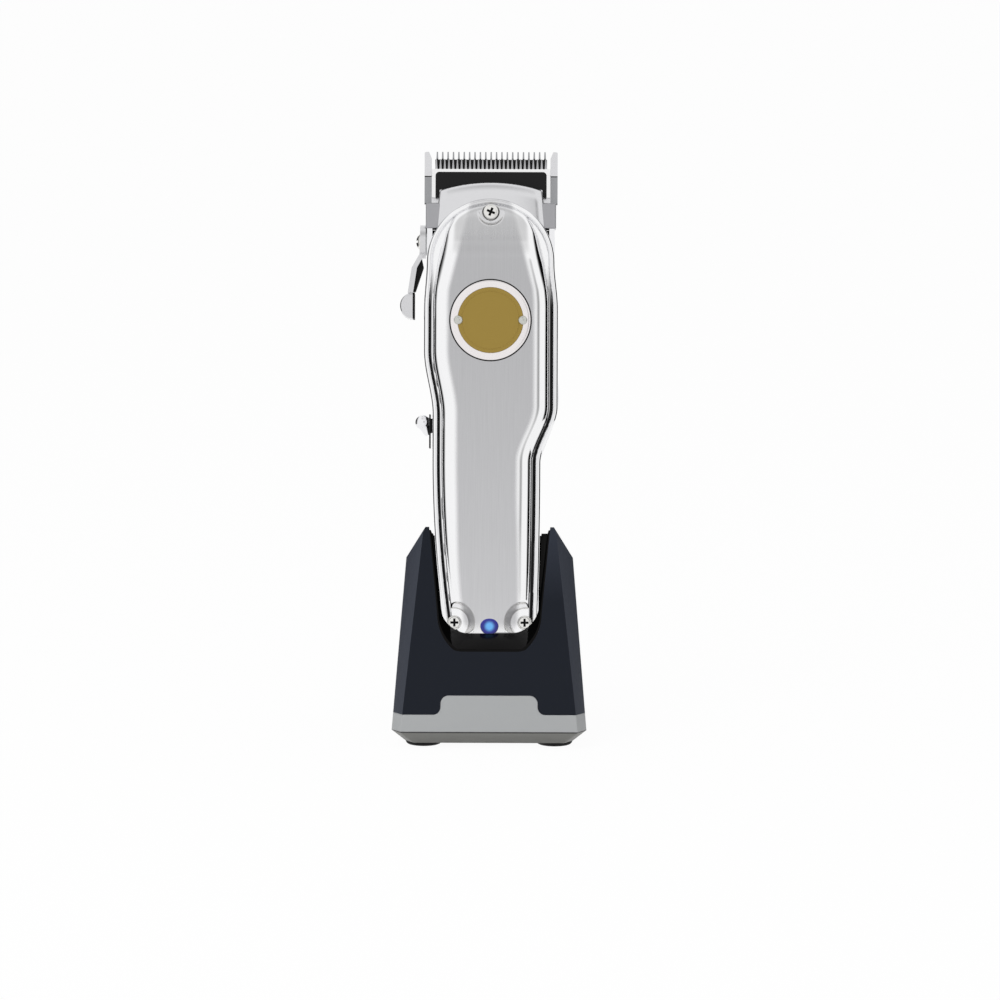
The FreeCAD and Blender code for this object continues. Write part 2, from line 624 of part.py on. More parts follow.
def make_lower_housing():
    shell = housing_form(0.0)
    hollow = housing_form(HOUSING_WALL, -1.0).common(
        box(-FAR, FAR, -FAR, FAR, HOUSING_WALL, NOSE_Z + 1))
    shell = shell.cut(hollow)
    hole_end = LID_SCREW_LENGTH + LID_SEAT_Y + 1.0
    inside = housing_form(0.3)
    bosses = [rod_y(BOSS_R, x, LID_SCREW_Z, 0, hole_end + 2.0).common(inside)
              for x in (-LID_SCREW_X, LID_SCREW_X)]
    block = box(-NOSE_HALF, NOSE_HALF, 0, BLADE_FACE_Y, NOSE_Z, BLADE_SHELF_Z)
    nose = block.fuse(make_hood())
    nose = nose.cut(box(-ARM_SLOT_HALF, ARM_SLOT_HALF, HOOD_BACK_Y, BLADE_FACE_Y + 1,
                        NOSE_Z - 1, BLADE_SHELF_Z + 1))
    housing = fuse(shell, nose, *bosses)
    for x in (-LID_SCREW_X, LID_SCREW_X):
        housing = housing.cut(rod_y(SCREW_SHANK_R, x, LID_SCREW_Z, -1, hole_end))
    housing = housing.cut(rod_y(SCREW_SHANK_R, 0, NOSE_SCREW_Z, -1, HOOD_BACK_Y - 0.3))
    hole_start = BLADE_FACE_Y - BLADE_SCREW_BITE - 0.35
    for x in (-BLADE_SCREW_X, BLADE_SCREW_X):
        housing = housing.cut(rod_y(SCREW_SHANK_R, x, BLADE_SCREW_Z, hole_start,
                                    BLADE_FACE_Y + 1))
    housing = housing.cut(rod_z(SOCKET_R + SEAT, 0, SOCKET_Y, -1, HOUSING_WALL + 1))
    outside = -HEAD_LEFT - 1
    housing = housing.cut(rod_x(CRANK_SHAFT_R + SEAT, PIVOT_Y, PIVOT_Z, outside,
                                outside + 2 * HOUSING_WALL + 4))
    slot = NECK_HALF + NECK_SIDE_PLAY
    housing = housing.cut(box(outside, -GRIP_LEFT + 2 * HOUSING_WALL, SWITCH_Y - slot,
                              SWITCH_Y + slot, KNOB_Z - NECK_BELOW - NECK_END_PLAY,
                              KNOB_Z + NECK_ABOVE + NECK_END_PLAY + SWITCH_TRAVEL))
    return housing.removeSplitter()


def make_hood():
    """The round-fronted roof over the drive arm, whose top edge bows towards the blades."""
    a = Vector(-HOOD_HALF, 0, NOSE_Z)
    b = Vector(-HOOD_TOP_HALF, 0, HOOD_SHOULDER_Z)
    c = Vector(0, 0, HOOD_TOP_Z)
    d = Vector(HOOD_TOP_HALF, 0, HOOD_SHOULDER_Z)
    e = Vector(HOOD_HALF, 0, NOSE_Z)
    wire = Part.Wire([Part.makeLine(a, b), Part.Arc(b, c, d).toShape(), Part.makeLine(d, e),
                      Part.makeLine(e, a)])
    hood = Part.Face(wire).extrude(Vector(0, HOOD_BACK_Y, 0))
    front = [g for g in hood.Edges if abs(g.CenterOfMass.y) < 0.01 and
             g.CenterOfMass.z > NOSE_Z + 1]
    return hood.makeFillet(HOOD_ROUND, front)


def comb_points(count, pitch, tip_z, root_z, tip_half, root_half):
    """Zigzag of teeth along X, from the left: root, tip, tip, root for each tooth."""
    points = []
    start = -pitch * (count - 1) / 2
    for i in range(count):
        x = start + i * pitch
        points += [(x - root_half, root_z), (x - tip_half, tip_z), (x + tip_half, tip_z),
                   (x + root_half, root_z)]
    return points


def make_fixed_blade():
    teeth = comb_points(FIXED_TEETH, FIXED_PITCH, BLADE_TIP_Z, BLADE_ROOT_Z, FIXED_TIP_HALF,
                        FIXED_ROOT_HALF)
    ear = BLADE_HALF - EAR_WIDTH
    bevel, drop = EAR_BEVEL
    outline = [(-BLADE_HEEL_HALF, NOSE_Z + 0.1), (-BLADE_HEEL_HALF, BLADE_SHELF_Z),
               (-BLADE_HALF, BLADE_SHELF_Z), (-BLADE_HALF, BLADE_TIP_Z - 0.3),
               (-BLADE_HALF + 0.4, BLADE_TIP_Z), (-ear - bevel, BLADE_TIP_Z),
               (-ear, BLADE_TIP_Z - drop), (-ear, BLADE_ROOT_Z)]
    outline = outline + teeth + [(-x, z) for x, z in reversed(outline)]
    blade = plate([Vector(x, BLADE_FACE_Y, z) for x, z in outline], Vector(0, BLADE_THICK, 0))
    # the back of the toothed end is ground down to a thin edge
    y_back = BLADE_FACE_Y + BLADE_THICK
    wedge = plate([Vector(-FAR / 4, y_back, BLADE_SHELF_Z + 3),
                   Vector(-FAR / 4, y_back + 1, BLADE_SHELF_Z + 3),
                   Vector(-FAR / 4, y_back + 1, BLADE_TIP_Z + 1),
                   Vector(-FAR / 4, BLADE_FACE_Y + EDGE_THICK, BLADE_TIP_Z + 1)], Vector(FAR / 2, 0, 0))
    blade = blade.cut(wedge)
    for x in (-BLADE_SCREW_X, BLADE_SCREW_X):
        blade = blade.cut(rod_y(SCREW_SHANK_R + HOLE_PLAY, x, BLADE_SCREW_Z, 0, FAR / 4))
    return blade


def make_blade_screws():
    seat = BLADE_FACE_Y + BLADE_THICK
    return Part.makeCompound([screw(Vector(x, seat, BLADE_SCREW_Z), -Y_AXIS,
                                    BLADE_SCREW_HEAD_R, BLADE_SCREW_HEAD_H, SCREW_SHANK_R,
                                    BLADE_THICK + BLADE_SCREW_BITE)
                              for x in (-BLADE_SCREW_X, BLADE_SCREW_X)])


def make_cutter():
    teeth = comb_points(CUTTER_TEETH, CUTTER_PITCH, CUTTER_TIP_Z, CUTTER_ROOT_Z,
                        CUTTER_TIP_HALF, CUTTER_ROOT_HALF)
    inner = CUTTER_HALF - CUTTER_LEG
    outline = [(-inner, GUIDE_BOTTOM_Z), (-CUTTER_HALF, GUIDE_BOTTOM_Z),
               (-CUTTER_HALF, CUTTER_ROOT_Z)]
    bar = [(inner, CUTTER_BAR_Z), (-inner, CUTTER_BAR_Z)]
    outline = outline + teeth + [(-x, z) for x, z in reversed(outline)] + bar
    face_y = BLADE_FACE_Y - BLADE_RUN
    return plate([Vector(x, face_y, z) for x, z in outline], Vector(0, -CUTTER_THICK, 0))


def make_drive_arm():
    """Black plastic arm: tines round the cam pin below, cutter guide plate above."""
    inner = CUTTER_HALF - CUTTER_LEG
    guide = box(-inner, inner, ARM_FRONT_Y, ARM_BACK_Y, GUIDE_BOTTOM_Z, CUTTER_BAR_Z)
    arm = box(-ARM_HALF, ARM_HALF, ARM_FRONT_Y, ARM_BACK_Y, TINE_BOTTOM_Z, GUIDE_BOTTOM_Z)
    lugs = []
    for z in (RAIL_TOP_Z + LINK_GAP, RAIL_BOTTOM_Z - LINK_GAP - LUG_HEIGHT):
        lugs.append(box(-ARM_HALF, ARM_HALF, ARM_BACK_Y, ARM_BACK_Y + LUG_DEPTH, z,
                        z + LUG_HEIGHT))
    slot_half = PIN_R + 2 * STROKE + LINK_GAP
    tine_end_y = MOTOR_Y + STROKE + PIN_R
    tines = [box(x, x + TINE_WIDTH, ARM_FRONT_Y, tine_end_y, TINE_BOTTOM_Z, TINE_TOP_Z)
             for x in (-slot_half - TINE_WIDTH, slot_half)]
    bridge = box(-slot_half - TINE_WIDTH, slot_half + TINE_WIDTH, ARM_FRONT_Y, ARM_BACK_Y,
                 TINE_BOTTOM_Z, TINE_TOP_Z)
    return fuse(guide, arm, bridge, *lugs, *tines)


def make_tension_spring():
    y0 = HOOD_BACK_Y + SEAT
    y1 = ARM_FRONT_Y - HOLE_PLAY
    stem = box(-SPRING_HALF, SPRING_HALF, y0, y1, NOSE_Z + 1, GUIDE_BOTTOM_Z + 1)
    bar = box(-SPRING_BAR_HALF, SPRING_BAR_HALF, y0, y1, GUIDE_BOTTOM_Z,
              GUIDE_BOTTOM_Z + SPRING_BAR)
    return fuse(stem, bar)


def can_bottom_z():
    return MOTOR_BOTTOM_Z + END_CAP


def can_roof_z():
    return MOTOR_TOP_Z - CAN_WALL


def make_motor_can():
    can = rod_z(MOTOR_R, 0, MOTOR_Y, can_bottom_z(), MOTOR_TOP_Z)
    can = can.fuse(rod_z(BUSH_BOSS_R, 0, MOTOR_Y, MOTOR_TOP_Z, MOTOR_TOP_Z + BUSH_BOSS))
    can = can.cut(rod_z(MOTOR_R - CAN_WALL, 0, MOTOR_Y, can_bottom_z(), can_roof_z()))
    return can.cut(rod_z(BUSH_R, 0, MOTOR_Y, can_roof_z() - 1, MOTOR_TOP_Z + BUSH_BOSS + 1))


def make_motor_end_cap():
    cap = rod_z(MOTOR_R, 0, MOTOR_Y, MOTOR_BOTTOM_Z, can_bottom_z())
    cap = cap.fuse(rod_z(BUSH_BOSS_R, 0, MOTOR_Y, MOTOR_BOTTOM_Z - BUSH_BOSS, MOTOR_BOTTOM_Z))
    return cap.cut(rod_z(BUSH_R, 0, MOTOR_Y, MOTOR_BOTTOM_Z - BUSH_REST, can_bottom_z() + 1))


def make_motor_bushes():
    bushes = [rod_z(BUSH_R, 0, MOTOR_Y, MOTOR_BOTTOM_Z - BUSH_REST, can_bottom_z()),
              rod_z(BUSH_R, 0, MOTOR_Y, can_roof_z(), MOTOR_TOP_Z + BUSH_BOSS)]
    bore = rod_z(SHAFT_R + RUN_FIT, 0, MOTOR_Y, MOTOR_BOTTOM_Z, MOTOR_TOP_Z + BUSH_BOSS + 1)
    return Part.makeCompound([b.cut(bore) for b in bushes])


def magnet_span():
    return can_bottom_z() + MAGNET_START, can_roof_z() - MAGNET_END


def make_motor_magnets():
    outer = MOTOR_R - CAN_WALL
    z0, z1 = magnet_span()
    ring = rod_z(outer, 0, MOTOR_Y, z0, z1).cut(rod_z(outer - MAGNET_THICK, 0, MOTOR_Y, z0, z1))
    return ring.cut(box(-MAGNET_GAP, MAGNET_GAP, MOTOR_Y - MOTOR_R, MOTOR_Y + MOTOR_R, z0, z1))


def make_armature():
    z0, z1 = magnet_span()
    z0 += ARMATURE_SETBACK
    z1 -= ARMATURE_SETBACK
    radius = MOTOR_R - CAN_WALL - MAGNET_THICK - AIR_GAP
    core = rod_z(radius, 0, MOTOR_Y, z0, z1)
    for k in range(3):
        slot = box(radius * 0.45, radius + 1, -POLE_SLOT, POLE_SLOT, z0 - 1, z1 + 1)
        slot.Placement = Placement(Vector(0, MOTOR_Y, 0), Rotation(Z_AXIS, 120 * k + 30))
        core = core.cut(slot)
    return core.cut(rod_z(SHAFT_R, 0, MOTOR_Y, z0, z1))


def make_commutator():
    z0 = can_bottom_z() + DRUM_START
    drum = rod_z(DRUM_R, 0, MOTOR_Y, z0, z0 + DRUM_LENGTH)
    return drum.cut(rod_z(SHAFT_R, 0, MOTOR_Y, z0, z0 + DRUM_LENGTH))


def make_motor_shaft():
    return rod_z(SHAFT_R, 0, MOTOR_Y, MOTOR_BOTTOM_Z + BUSH_REST, CAM_TOP_Z - SHAFT_STOP)


def make_eccentric_cam():
    disc = rod_z(CAM_R, 0, MOTOR_Y, CAM_BOTTOM_Z, CAM_TOP_Z)
    disc = disc.cut(rod_z(SHAFT_R, 0, MOTOR_Y, CAM_BOTTOM_Z, CAM_TOP_Z - SHAFT_STOP))
    return disc.fuse(rod_z(PIN_R, 0, MOTOR_Y + STROKE, CAM_TOP_Z, PIN_TOP_Z))


def bracket(z0, height, radius, y, front_y):
    """A rib that fills the housing's width and holds a round body in its hole."""
    z1 = z0 + height
    rib = housing_form(HOUSING_WALL + SEAT, front_y).common(box(-FAR, FAR, -FAR, FAR, z0, z1))
    rib = rib.cut(rod_z(radius + SEAT, 0, y, z0 - 1, z1 + 1))
    return rib.cut(box(-radius * 0.7, radius * 0.7, front_y - 1, y, z0 - 1, z1 + 1))


def make_motor_front_bracket():
    return bracket(MOTOR_TOP_Z - BRACKET_THICK - 1, BRACKET_THICK, MOTOR_R, MOTOR_Y,
                   BRACKET_FRONT_Y)


def make_motor_rear_bracket():
    return bracket(can_bottom_z() + 1, BRACKET_THICK, MOTOR_R, MOTOR_Y, BRACKET_FRONT_Y)


def make_battery():
    cell = rod_z(BATTERY_R, 0, BATTERY_Y, BATTERY_BOTTOM_Z, BATTERY_TOP_Z - BATTERY_TIP_H)
    return cell.fuse(rod_z(BATTERY_TIP_R, 0, BATTERY_Y, BATTERY_TOP_Z - BATTERY_TIP_H,
                           BATTERY_TOP_Z))


def make_battery_cradle():
    ribs = [bracket(z, CRADLE_RIB, BATTERY_R, BATTERY_Y, 0.0)
            for z in (CRADLE_LOW_Z, CRADLE_HIGH_Z)]
    rails = [box(x - CRADLE_RAIL_HALF, x + CRADLE_RAIL_HALF, CRADLE_RAIL_Y,
                 CRADLE_RAIL_Y + CRADLE_RAIL_DEPTH, CRADLE_LOW_Z, CRADLE_HIGH_Z + CRADLE_RIB)
             for x in (-CRADLE_RAIL_X, CRADLE_RAIL_X)]
    return fuse(*ribs, *rails)


def make_control_board():
    shoulder_z = PANEL_SOLID_Z + BOARD_SHOULDER
    room = min(panel_half(left_half, shoulder_z), panel_half(right_half, shoulder_z)) - LID_WALL
    half = room - BOARD_EDGE_GAP
    right = [(BOARD_TAIL_HALF, BOARD_BOTTOM_Z), (BOARD_TAIL_HALF, PANEL_SOLID_Z + 0.6),
             (half, shoulder_z), (half, BOARD_TOP_Z)]
    outline = right + [(-x, z) for x, z in reversed(right)]
    board = plate([Vector(x, -BOARD_THICK, z) for x, z in outline], Vector(0, BOARD_THICK, 0))
    front = -BOARD_THICK
    chips = [box(-5, 3, front - 1.4, front, 22, 30), box(-8, -3, front - 2.2, front, 36, 44),
             box(2, 8, front - 3.0, front, 36, 42), box(-3, 3, front - 1.2, front, 48, 53)]
    return fuse(board, *chips)


def make_charge_socket():
    body = rod_z(SOCKET_R, 0, SOCKET_Y, 0, SOCKET_LENGTH)
    bore = rod_z(SOCKET_BORE_R, 0, SOCKET_Y, -1, SOCKET_LENGTH - 1.5)
    pin = rod_z(SOCKET_PIN_R, 0, SOCKET_Y, 1.0, SOCKET_LENGTH - 1.0)
    return body.cut(bore).fuse(pin)


def slider_inner_x():
    return -GRIP_LEFT + HOUSING_WALL + SLIDER_GAP


def make_switch_base():
    outer = slider_inner_x() + SLIDER_THICK + SWITCH_BASE_GAP
    return box(outer, outer + SWITCH_BASE_DEPTH, SWITCH_Y - SWITCH_BASE_HALF,
               SWITCH_Y + SWITCH_BASE_HALF, KNOB_Z - SWITCH_BASE_BELOW, KNOB_Z + SWITCH_BASE_ABOVE)


def make_switch_slider():
    """Inner block, neck through the slot and cover strip outside, in one plastic piece."""
    inner_x = slider_inner_x()
    inner = box(inner_x, inner_x + SLIDER_THICK, SWITCH_Y - STRIP_HALF, SWITCH_Y + STRIP_HALF,
                KNOB_Z - NECK_BELOW - 1.6, KNOB_Z + NECK_ABOVE + 0.8)
    neck = box(STRIP_X + STRIP_THICK, inner_x, SWITCH_Y - NECK_HALF, SWITCH_Y + NECK_HALF,
               KNOB_Z - NECK_BELOW, KNOB_Z + NECK_ABOVE)
    strip = box(STRIP_X, STRIP_X + STRIP_THICK, SWITCH_Y - STRIP_HALF, SWITCH_Y + STRIP_HALF,
                KNOB_Z - STRIP_BELOW, KNOB_Z + STRIP_ABOVE)
    return fuse(inner, neck, strip)


def make_switch_knob():
    """Polished ball on a short tail that runs down to the strip."""
    ball = Part.makeSphere(KNOB_R, Vector(-KNOB_OUT, SWITCH_Y, KNOB_Z))
    start = Vector(STRIP_X - 0.3, SWITCH_Y, KNOB_Z - KNOB_TAIL)
    way = Vector(-KNOB_OUT - start.x, 0, KNOB_TAIL)
    tail = Part.makeCone(0.9, KNOB_R * 0.9, 4.6, start, way)
    foot = rod_x(1.6, SWITCH_Y, KNOB_Z, -KNOB_OUT, STRIP_X)
    keep = box(-FAR / 4, STRIP_X, -FAR / 4, FAR / 4, 0, FAR)
    return fuse(ball.common(keep), tail.common(keep), foot)


# ---- taper lever pieces ----
def lever_path():
    """Middle line of the bent arm in the X-Z plane, from the hub down to the thumb pad."""
    hub_x = HUB_X - HUB_THICK / 2
    return [Vector(hub_x + out, 0, PIVOT_Z + down) for out, down in LEVER_BENDS]


def make_taper_lever():
    path = lever_path()
    half = LEVER_THICK / 2
    outer = [p + Vector(-half, PIVOT_Y - LEVER_WIDTH / 2, 0) for p in path]
    inner = [p + Vector(half, PIVOT_Y - LEVER_WIDTH / 2, 0) for p in reversed(path)]
    arm = plate(outer + inner, Vector(0, LEVER_WIDTH, 0))
    hub = rod_x(HUB_R, PIVOT_Y, PIVOT_Z, HUB_X - HUB_THICK, HUB_X)
    lever = fuse(arm.cut(rod_x(HUB_R * 0.6, PIVOT_Y, PIVOT_Z, -FAR / 4, 0)), hub)
    return lever.cut(rod_x(LEVER_SCREW_R + SEAT, PIVOT_Y, PIVOT_Z, -FAR / 4, 0))


def pad_centre():
    return lever_path()[-1] + Vector(LEVER_THICK / 2, PIVOT_Y, -PAD_R)


def make_lever_thumb_pad():
    """Half round pad across the arm's end, flat on its inner side."""
    centre = pad_centre()
    half = (LEVER_WIDTH + PAD_OVER) / 2
    round_bar = rod(PAD_R, centre - Vector(0, half, 0), centre + Vector(0, half, 0))
    pad = round_bar.common(box(centre.x - PAD_R, centre.x, -FAR / 4, FAR / 4, 0, FAR))
    ends = [e for e in pad.Edges if abs(abs(e.CenterOfMass.y - centre.y) - half) < 0.01 and
            e.CenterOfMass.x < centre.x - 0.5]
    return pad.makeFillet(PAD_ROUND, ends)


def make_lever_pad_backing():
    centre = pad_centre()
    half = LEVER_WIDTH / 2
    return box(centre.x, centre.x + PAD_BACKING, centre.y - half, centre.y + half,
               centre.z - PAD_R, centre.z + PAD_R)


def make_lever_rib():
    """Dark wedge-shaped rib behind the bent arm."""
    path = lever_path()
    edge = Vector(LEVER_THICK / 2, PIVOT_Y - RIB_WIDTH / 2, 0)
    deep, shallow = RIB_DEPTH
    top = path[1] + (path[2] - path[1]) * 0.35 + edge
    elbow = path[2] + edge
    low = path[3] + (path[2] - path[3]) * 0.05 + edge
    knee = low + Vector(shallow, 0, 0)
    mid = elbow + Vector(deep, 0, 0.2)
    return plate([top, elbow, low, knee, mid], Vector(0, RIB_WIDTH, 0))


def make_lever_screw():
    head_x = HUB_X - HUB_THICK
    head = dome(Vector(head_x, PIVOT_Y, PIVOT_Z), -X_AXIS, LEVER_SCREW_HEAD_R,
                LEVER_SCREW_HEAD_H)
    shank = rod_x(LEVER_SCREW_R, PIVOT_Y, PIVOT_Z, head_x, HUB_X + LEVER_SCREW_BITE)
    top_x = head_x - LEVER_SCREW_HEAD_H
    slot = box(top_x - 1, top_x + 0.7, PIVOT_Y - 4, PIVOT_Y + 4, PIVOT_Z - 0.4, PIVOT_Z + 0.4)
    return head.fuse(shank).cut(slot)


def make_lever_washer():
    washer = rod_x(WASHER_R, PIVOT_Y, PIVOT_Z, HUB_X + WASHER_GAP, -NOSE_HALF - SEAT)
    return washer.cut(rod_x(CRANK_SHAFT_R + SEAT, PIVOT_Y, PIVOT_Z, -FAR / 4, 0))


def crank_pin():
    lift = math.radians(TAPER_ANGLE / 2)
    return (PIVOT_Y - CRANK * math.cos(lift), PIVOT_Z + CRANK * math.sin(lift))


def make_taper_eccentric():
    web_x = -NOSE_HALF + HOUSING_WALL + CRANK_WEB_GAP
    pin_x = web_x + CRANK_WEB
    pin_y, pin_z = crank_pin()
    shaft = rod_x(CRANK_SHAFT_R, PIVOT_Y, PIVOT_Z, HUB_X, pin_x)
    end = rod_x(CRANK_PIN_R + 0.7, pin_y, pin_z, web_x, pin_x)
    pin = rod_x(CRANK_PIN_R, pin_y, pin_z, pin_x, pin_x + CRANK_PIN_LENGTH)
    bore = rod_x(LEVER_SCREW_R, PIVOT_Y, PIVOT_Z, HUB_X, HUB_X + LEVER_SCREW_BITE)
    return fuse(shaft, end, pin).cut(bore)


def make_taper_slide():
    """Steel bracket: a rail behind the drive arm and two cheeks, one slotted for the pin."""
    outer = NOSE_HALF - HOUSING_WALL - CHEEK_INSET
    pin_y, pin_z = crank_pin()
    rail_y0 = BLADE_FACE_Y + LINK_GAP
    rail_y1 = rail_y0 + SLIDE_THICK
    rail = box(-outer, outer, rail_y0, rail_y1, RAIL_BOTTOM_Z, RAIL_TOP_Z)
    front_y = pin_y - CHEEK_HALF
    cheeks = []
    for x in (-outer, outer - SLIDE_THICK):
        cheeks.append(box(x, x + SLIDE_THICK, front_y, rail_y1, RAIL_BOTTOM_Z, RAIL_TOP_Z))
        cheeks.append(box(x, x + SLIDE_THICK, front_y, pin_y + CHEEK_HALF, RAIL_BOTTOM_Z,
                          pin_z + CRANK_PIN_R + 1.2))
    half = CRANK_PIN_R + SLIDE_FIT
    slot = box(-outer - 1, -outer + SLIDE_THICK + 1, pin_y - SLOT_REACH, pin_y + SLOT_REACH,
               pin_z - half, pin_z + half)
    return fuse(rail, *cheeks).cut(slot)


# ---- stand ----
def trim(shape, point, outward, inset):
    """Cut away what lies beyond a plane that is moved inwards by inset."""
    outward = Vector(outward).normalize()
    slab = Part.makeBox(FAR, FAR, FAR, Vector(-FAR / 2, -FAR / 2, 0))
    slab.Placement = Placement(point - outward * inset, Rotation(Z_AXIS, outward))
    return shape.cut(slab)


def front_y(z):
    return -BASE_HALF_DEPTH + (z - PAN_TOP_Z) * math.tan(math.radians(LEAN))


def rear_y(z):
    return BASE_HALF_DEPTH - (z - PAN_TOP_Z) * math.tan(math.radians(REAR_LEAN))


def side_x(z):
    return BASE_HALF_WIDTH - (z - PAN_TOP_Z) * math.tan(math.radians(SIDE_LEAN))


def stand_form(inset, bottom_z, roof_inset):
    """Leaning eight-sided block with two horns; every face can be moved inwards."""
    form = box(-FAR / 4, FAR / 4, -FAR / 4, FAR / 4, bottom_z, HORN_Z + 20)
    lean = math.radians(LEAN)
    rear = math.radians(REAR_LEAN)
    side = math.radians(SIDE_LEAN)
    form = trim(form, Vector(0, front_y(PAN_TOP_Z), PAN_TOP_Z),
                Vector(0, -math.cos(lean), math.sin(lean)), inset)
    form = trim(form, Vector(0, rear_y(PAN_TOP_Z), PAN_TOP_Z),
                Vector(0, math.cos(rear), math.sin(rear)), inset)
    roof = math.radians(ROOF_FALL)
    form = trim(form, Vector(0, front_y(HORN_Z), HORN_Z),
                Vector(0, math.sin(roof), math.cos(roof)), roof_inset)
    slope = Vector(SHOULDER_DROP, 0, SHOULDER_OUT - HORN_OUT)
    for sign in (-1, 1):
        form = trim(form, Vector(sign * BASE_HALF_WIDTH, 0, PAN_TOP_Z),
                    Vector(sign * math.cos(side), 0, math.sin(side)), inset)
        form = trim(form, Vector(sign * SHOULDER_OUT, 0, STAND_SHOULDER_Z),
                    Vector(sign * slope.x, 0, slope.z), roof_inset)
        for end, face in ((-1, front_y), (1, rear_y)):
            low = Vector(sign * FACET_LOW_X, face(BAND_TOP_Z), BAND_TOP_Z)
            high = Vector(sign * FACET_HIGH_X, face(FACET_HIGH_Z), FACET_HIGH_Z)
            flank = Vector(sign * side_x(BAND_TOP_Z), face(BAND_TOP_Z) - end * FACET_DEPTH,
                           BAND_TOP_Z)
            normal = (high - low).cross(flank - low)
            if normal.dot(Vector(sign, end, 0)) < 0:
                normal = normal * -1
            form = trim(form, low, normal, inset)
    return form


def to_world(shape):
    moved = shape.copy()
    moved.Placement = docked().multiply(moved.Placement)
    return moved


def docked():
    return Placement(Vector(0, TAIL_Y, TAIL_Z), Rotation(X_AXIS, -LEAN))


def front_face_y():
    """The stand's front face in the clipper's frame, in which it is upright."""
    lean = math.radians(LEAN)
    dy = -BASE_HALF_DEPTH - TAIL_Y
    dz = PAN_TOP_Z - TAIL_Z
    return dy * math.cos(lean) - dz * math.sin(lean)


def notch_wire(shape, y, grow=0.0):
    """U-shaped outline in the clipper's frame, open upwards far above the stand."""
    top_z = MOUTH_TOP + 22.0
    side = shape["side_half"] + grow
    top = side + (shape["top_half"] - shape["side_half"]) * (
        (top_z - shape["side_z"]) / (MOUTH_TOP - shape["side_z"]))
    floor_z = shape["floor_z"] - grow
    bend_x = shape["bend"][0] + 0.8 * grow
    bend_z = shape["bend"][1] - 0.6 * grow
    a = Vector(-top, y, top_z)
    b = Vector(-side, y, shape["side_z"])
    c = Vector(-shape["floor_half"], y, floor_z)
    d = Vector(shape["floor_half"], y, floor_z)
    e = Vector(side, y, shape["side_z"])
    f = Vector(top, y, top_z)
    left = Part.Arc(b, Vector(-bend_x, y, bend_z), c).toShape()
    right = Part.Arc(d, Vector(bend_x, y, bend_z), e).toShape()
    return Part.Wire([Part.makeLine(a, b), left, Part.makeLine(c, d), right,
                      Part.makeLine(e, f), Part.makeLine(f, a)])


def notch_prism(shape, y0, y1, grow=0.0):
    return Part.Face(notch_wire(shape, y0, grow)).extrude(Vector(0, y1 - y0, 0))


def cradle_back_y():
    return GRIP_DEPTH + CRADLE_CLEAR + CRADLE_WALL


def cradle_envelope():
    """Outside of the cradle: flush in the front notch, wider behind the front wall."""
    face = front_face_y()
    front = notch_prism(NOTCH, face - 1, face + STAND_WALL + 0.1)
    rest = notch_prism(NOTCH, face + STAND_WALL, cradle_back_y(), CRADLE_WALL)
    return to_world(front.fuse(rest))


def make_cradle_insert():
    body = cradle_envelope().common(stand_form(0.0, PAN_TOP_Z, 1.0))
    face = front_face_y()
    funnel = Part.makeLoft([notch_wire(NOTCH, face - 1, -LIP_RIM), notch_wire(LIP, LIP_Y)],
                           True, True)
    window = notch_prism(LIP, LIP_Y, 0.0)
    bay = housing_form(-CRADLE_CLEAR, LIP_Y)
    bay.translate(Vector(0, 0, -CRADLE_CLEAR))
    body = body.cut(to_world(funnel)).cut(to_world(window)).cut(to_world(bay))
    body = body.cut(to_world(rod_z(SOCKET_R, 0, SOCKET_Y, CRADLE_FLOOR_Z - 1, 5)))
    solids = sorted(body.Solids, key=lambda s: -s.Volume)
    return solids[0].removeSplitter()


def tab_prism(half, top_z, y0, y1):
    """The raised middle of the base band, with rounded upper corners."""
    tab = box(-half, half, y0, y1, BAND_TOP_Z - 1, top_z)
    corners = [e for e in tab.Edges if abs(e.CenterOfMass.z - top_z) < 0.01 and
               abs(e.CenterOfMass.x) > half - 0.01]
    return tab.makeFillet(TAB_CORNER, corners)


def screw_posts(z0, z1):
    """Four posts for the base screws, each tied to the side wall by a rib."""
    reach = side_x(z1) - STAND_WALL / 2
    posts = []
    for x, y in base_screw_places():
        x0, x1 = sorted((x, math.copysign(reach, x)))
        rib = box(x0, x1, y - POST_RIB, y + POST_RIB, z0, z1)
        posts.append(rod_z(POST_R, x, y, z0, z1).fuse(rib))
    return posts


def base_screw_places():
    return [(x, y) for x in (-BASE_SCREW_X, BASE_SCREW_X) for y in (-BASE_SCREW_Y, BASE_SCREW_Y)]


def foot_places():
    return [(x, y) for x in (-FOOT_X, FOOT_X) for y in (-FOOT_Y, FOOT_Y)]


def make_stand_body():
    shell = stand_form(0.0, BAND_TOP_Z, 0.0)
    shell = shell.cut(stand_form(STAND_WALL, BAND_TOP_Z - 1, STAND_WALL))
    shell = fuse(shell, *screw_posts(BAND_TOP_Z, POST_TOP_Z))
    shell = shell.cut(cradle_envelope())
    shell = shell.cut(tab_prism(TAB_HALF, TAB_TOP_Z, -FAR / 4,
                                front_y(TAB_TOP_Z) + STAND_WALL + 0.6))
    for x, y in base_screw_places():
        shell = shell.cut(rod_z(BASE_SCREW_R, x, y, 0, POST_TOP_Z - POST_END))
    shell = shell.cut(rod_y(INLET_R + SEAT, 0, INLET_Z, 0, FAR / 4))
    solids = sorted(shell.Solids, key=lambda s: -s.Volume)
    return solids[0].removeSplitter()


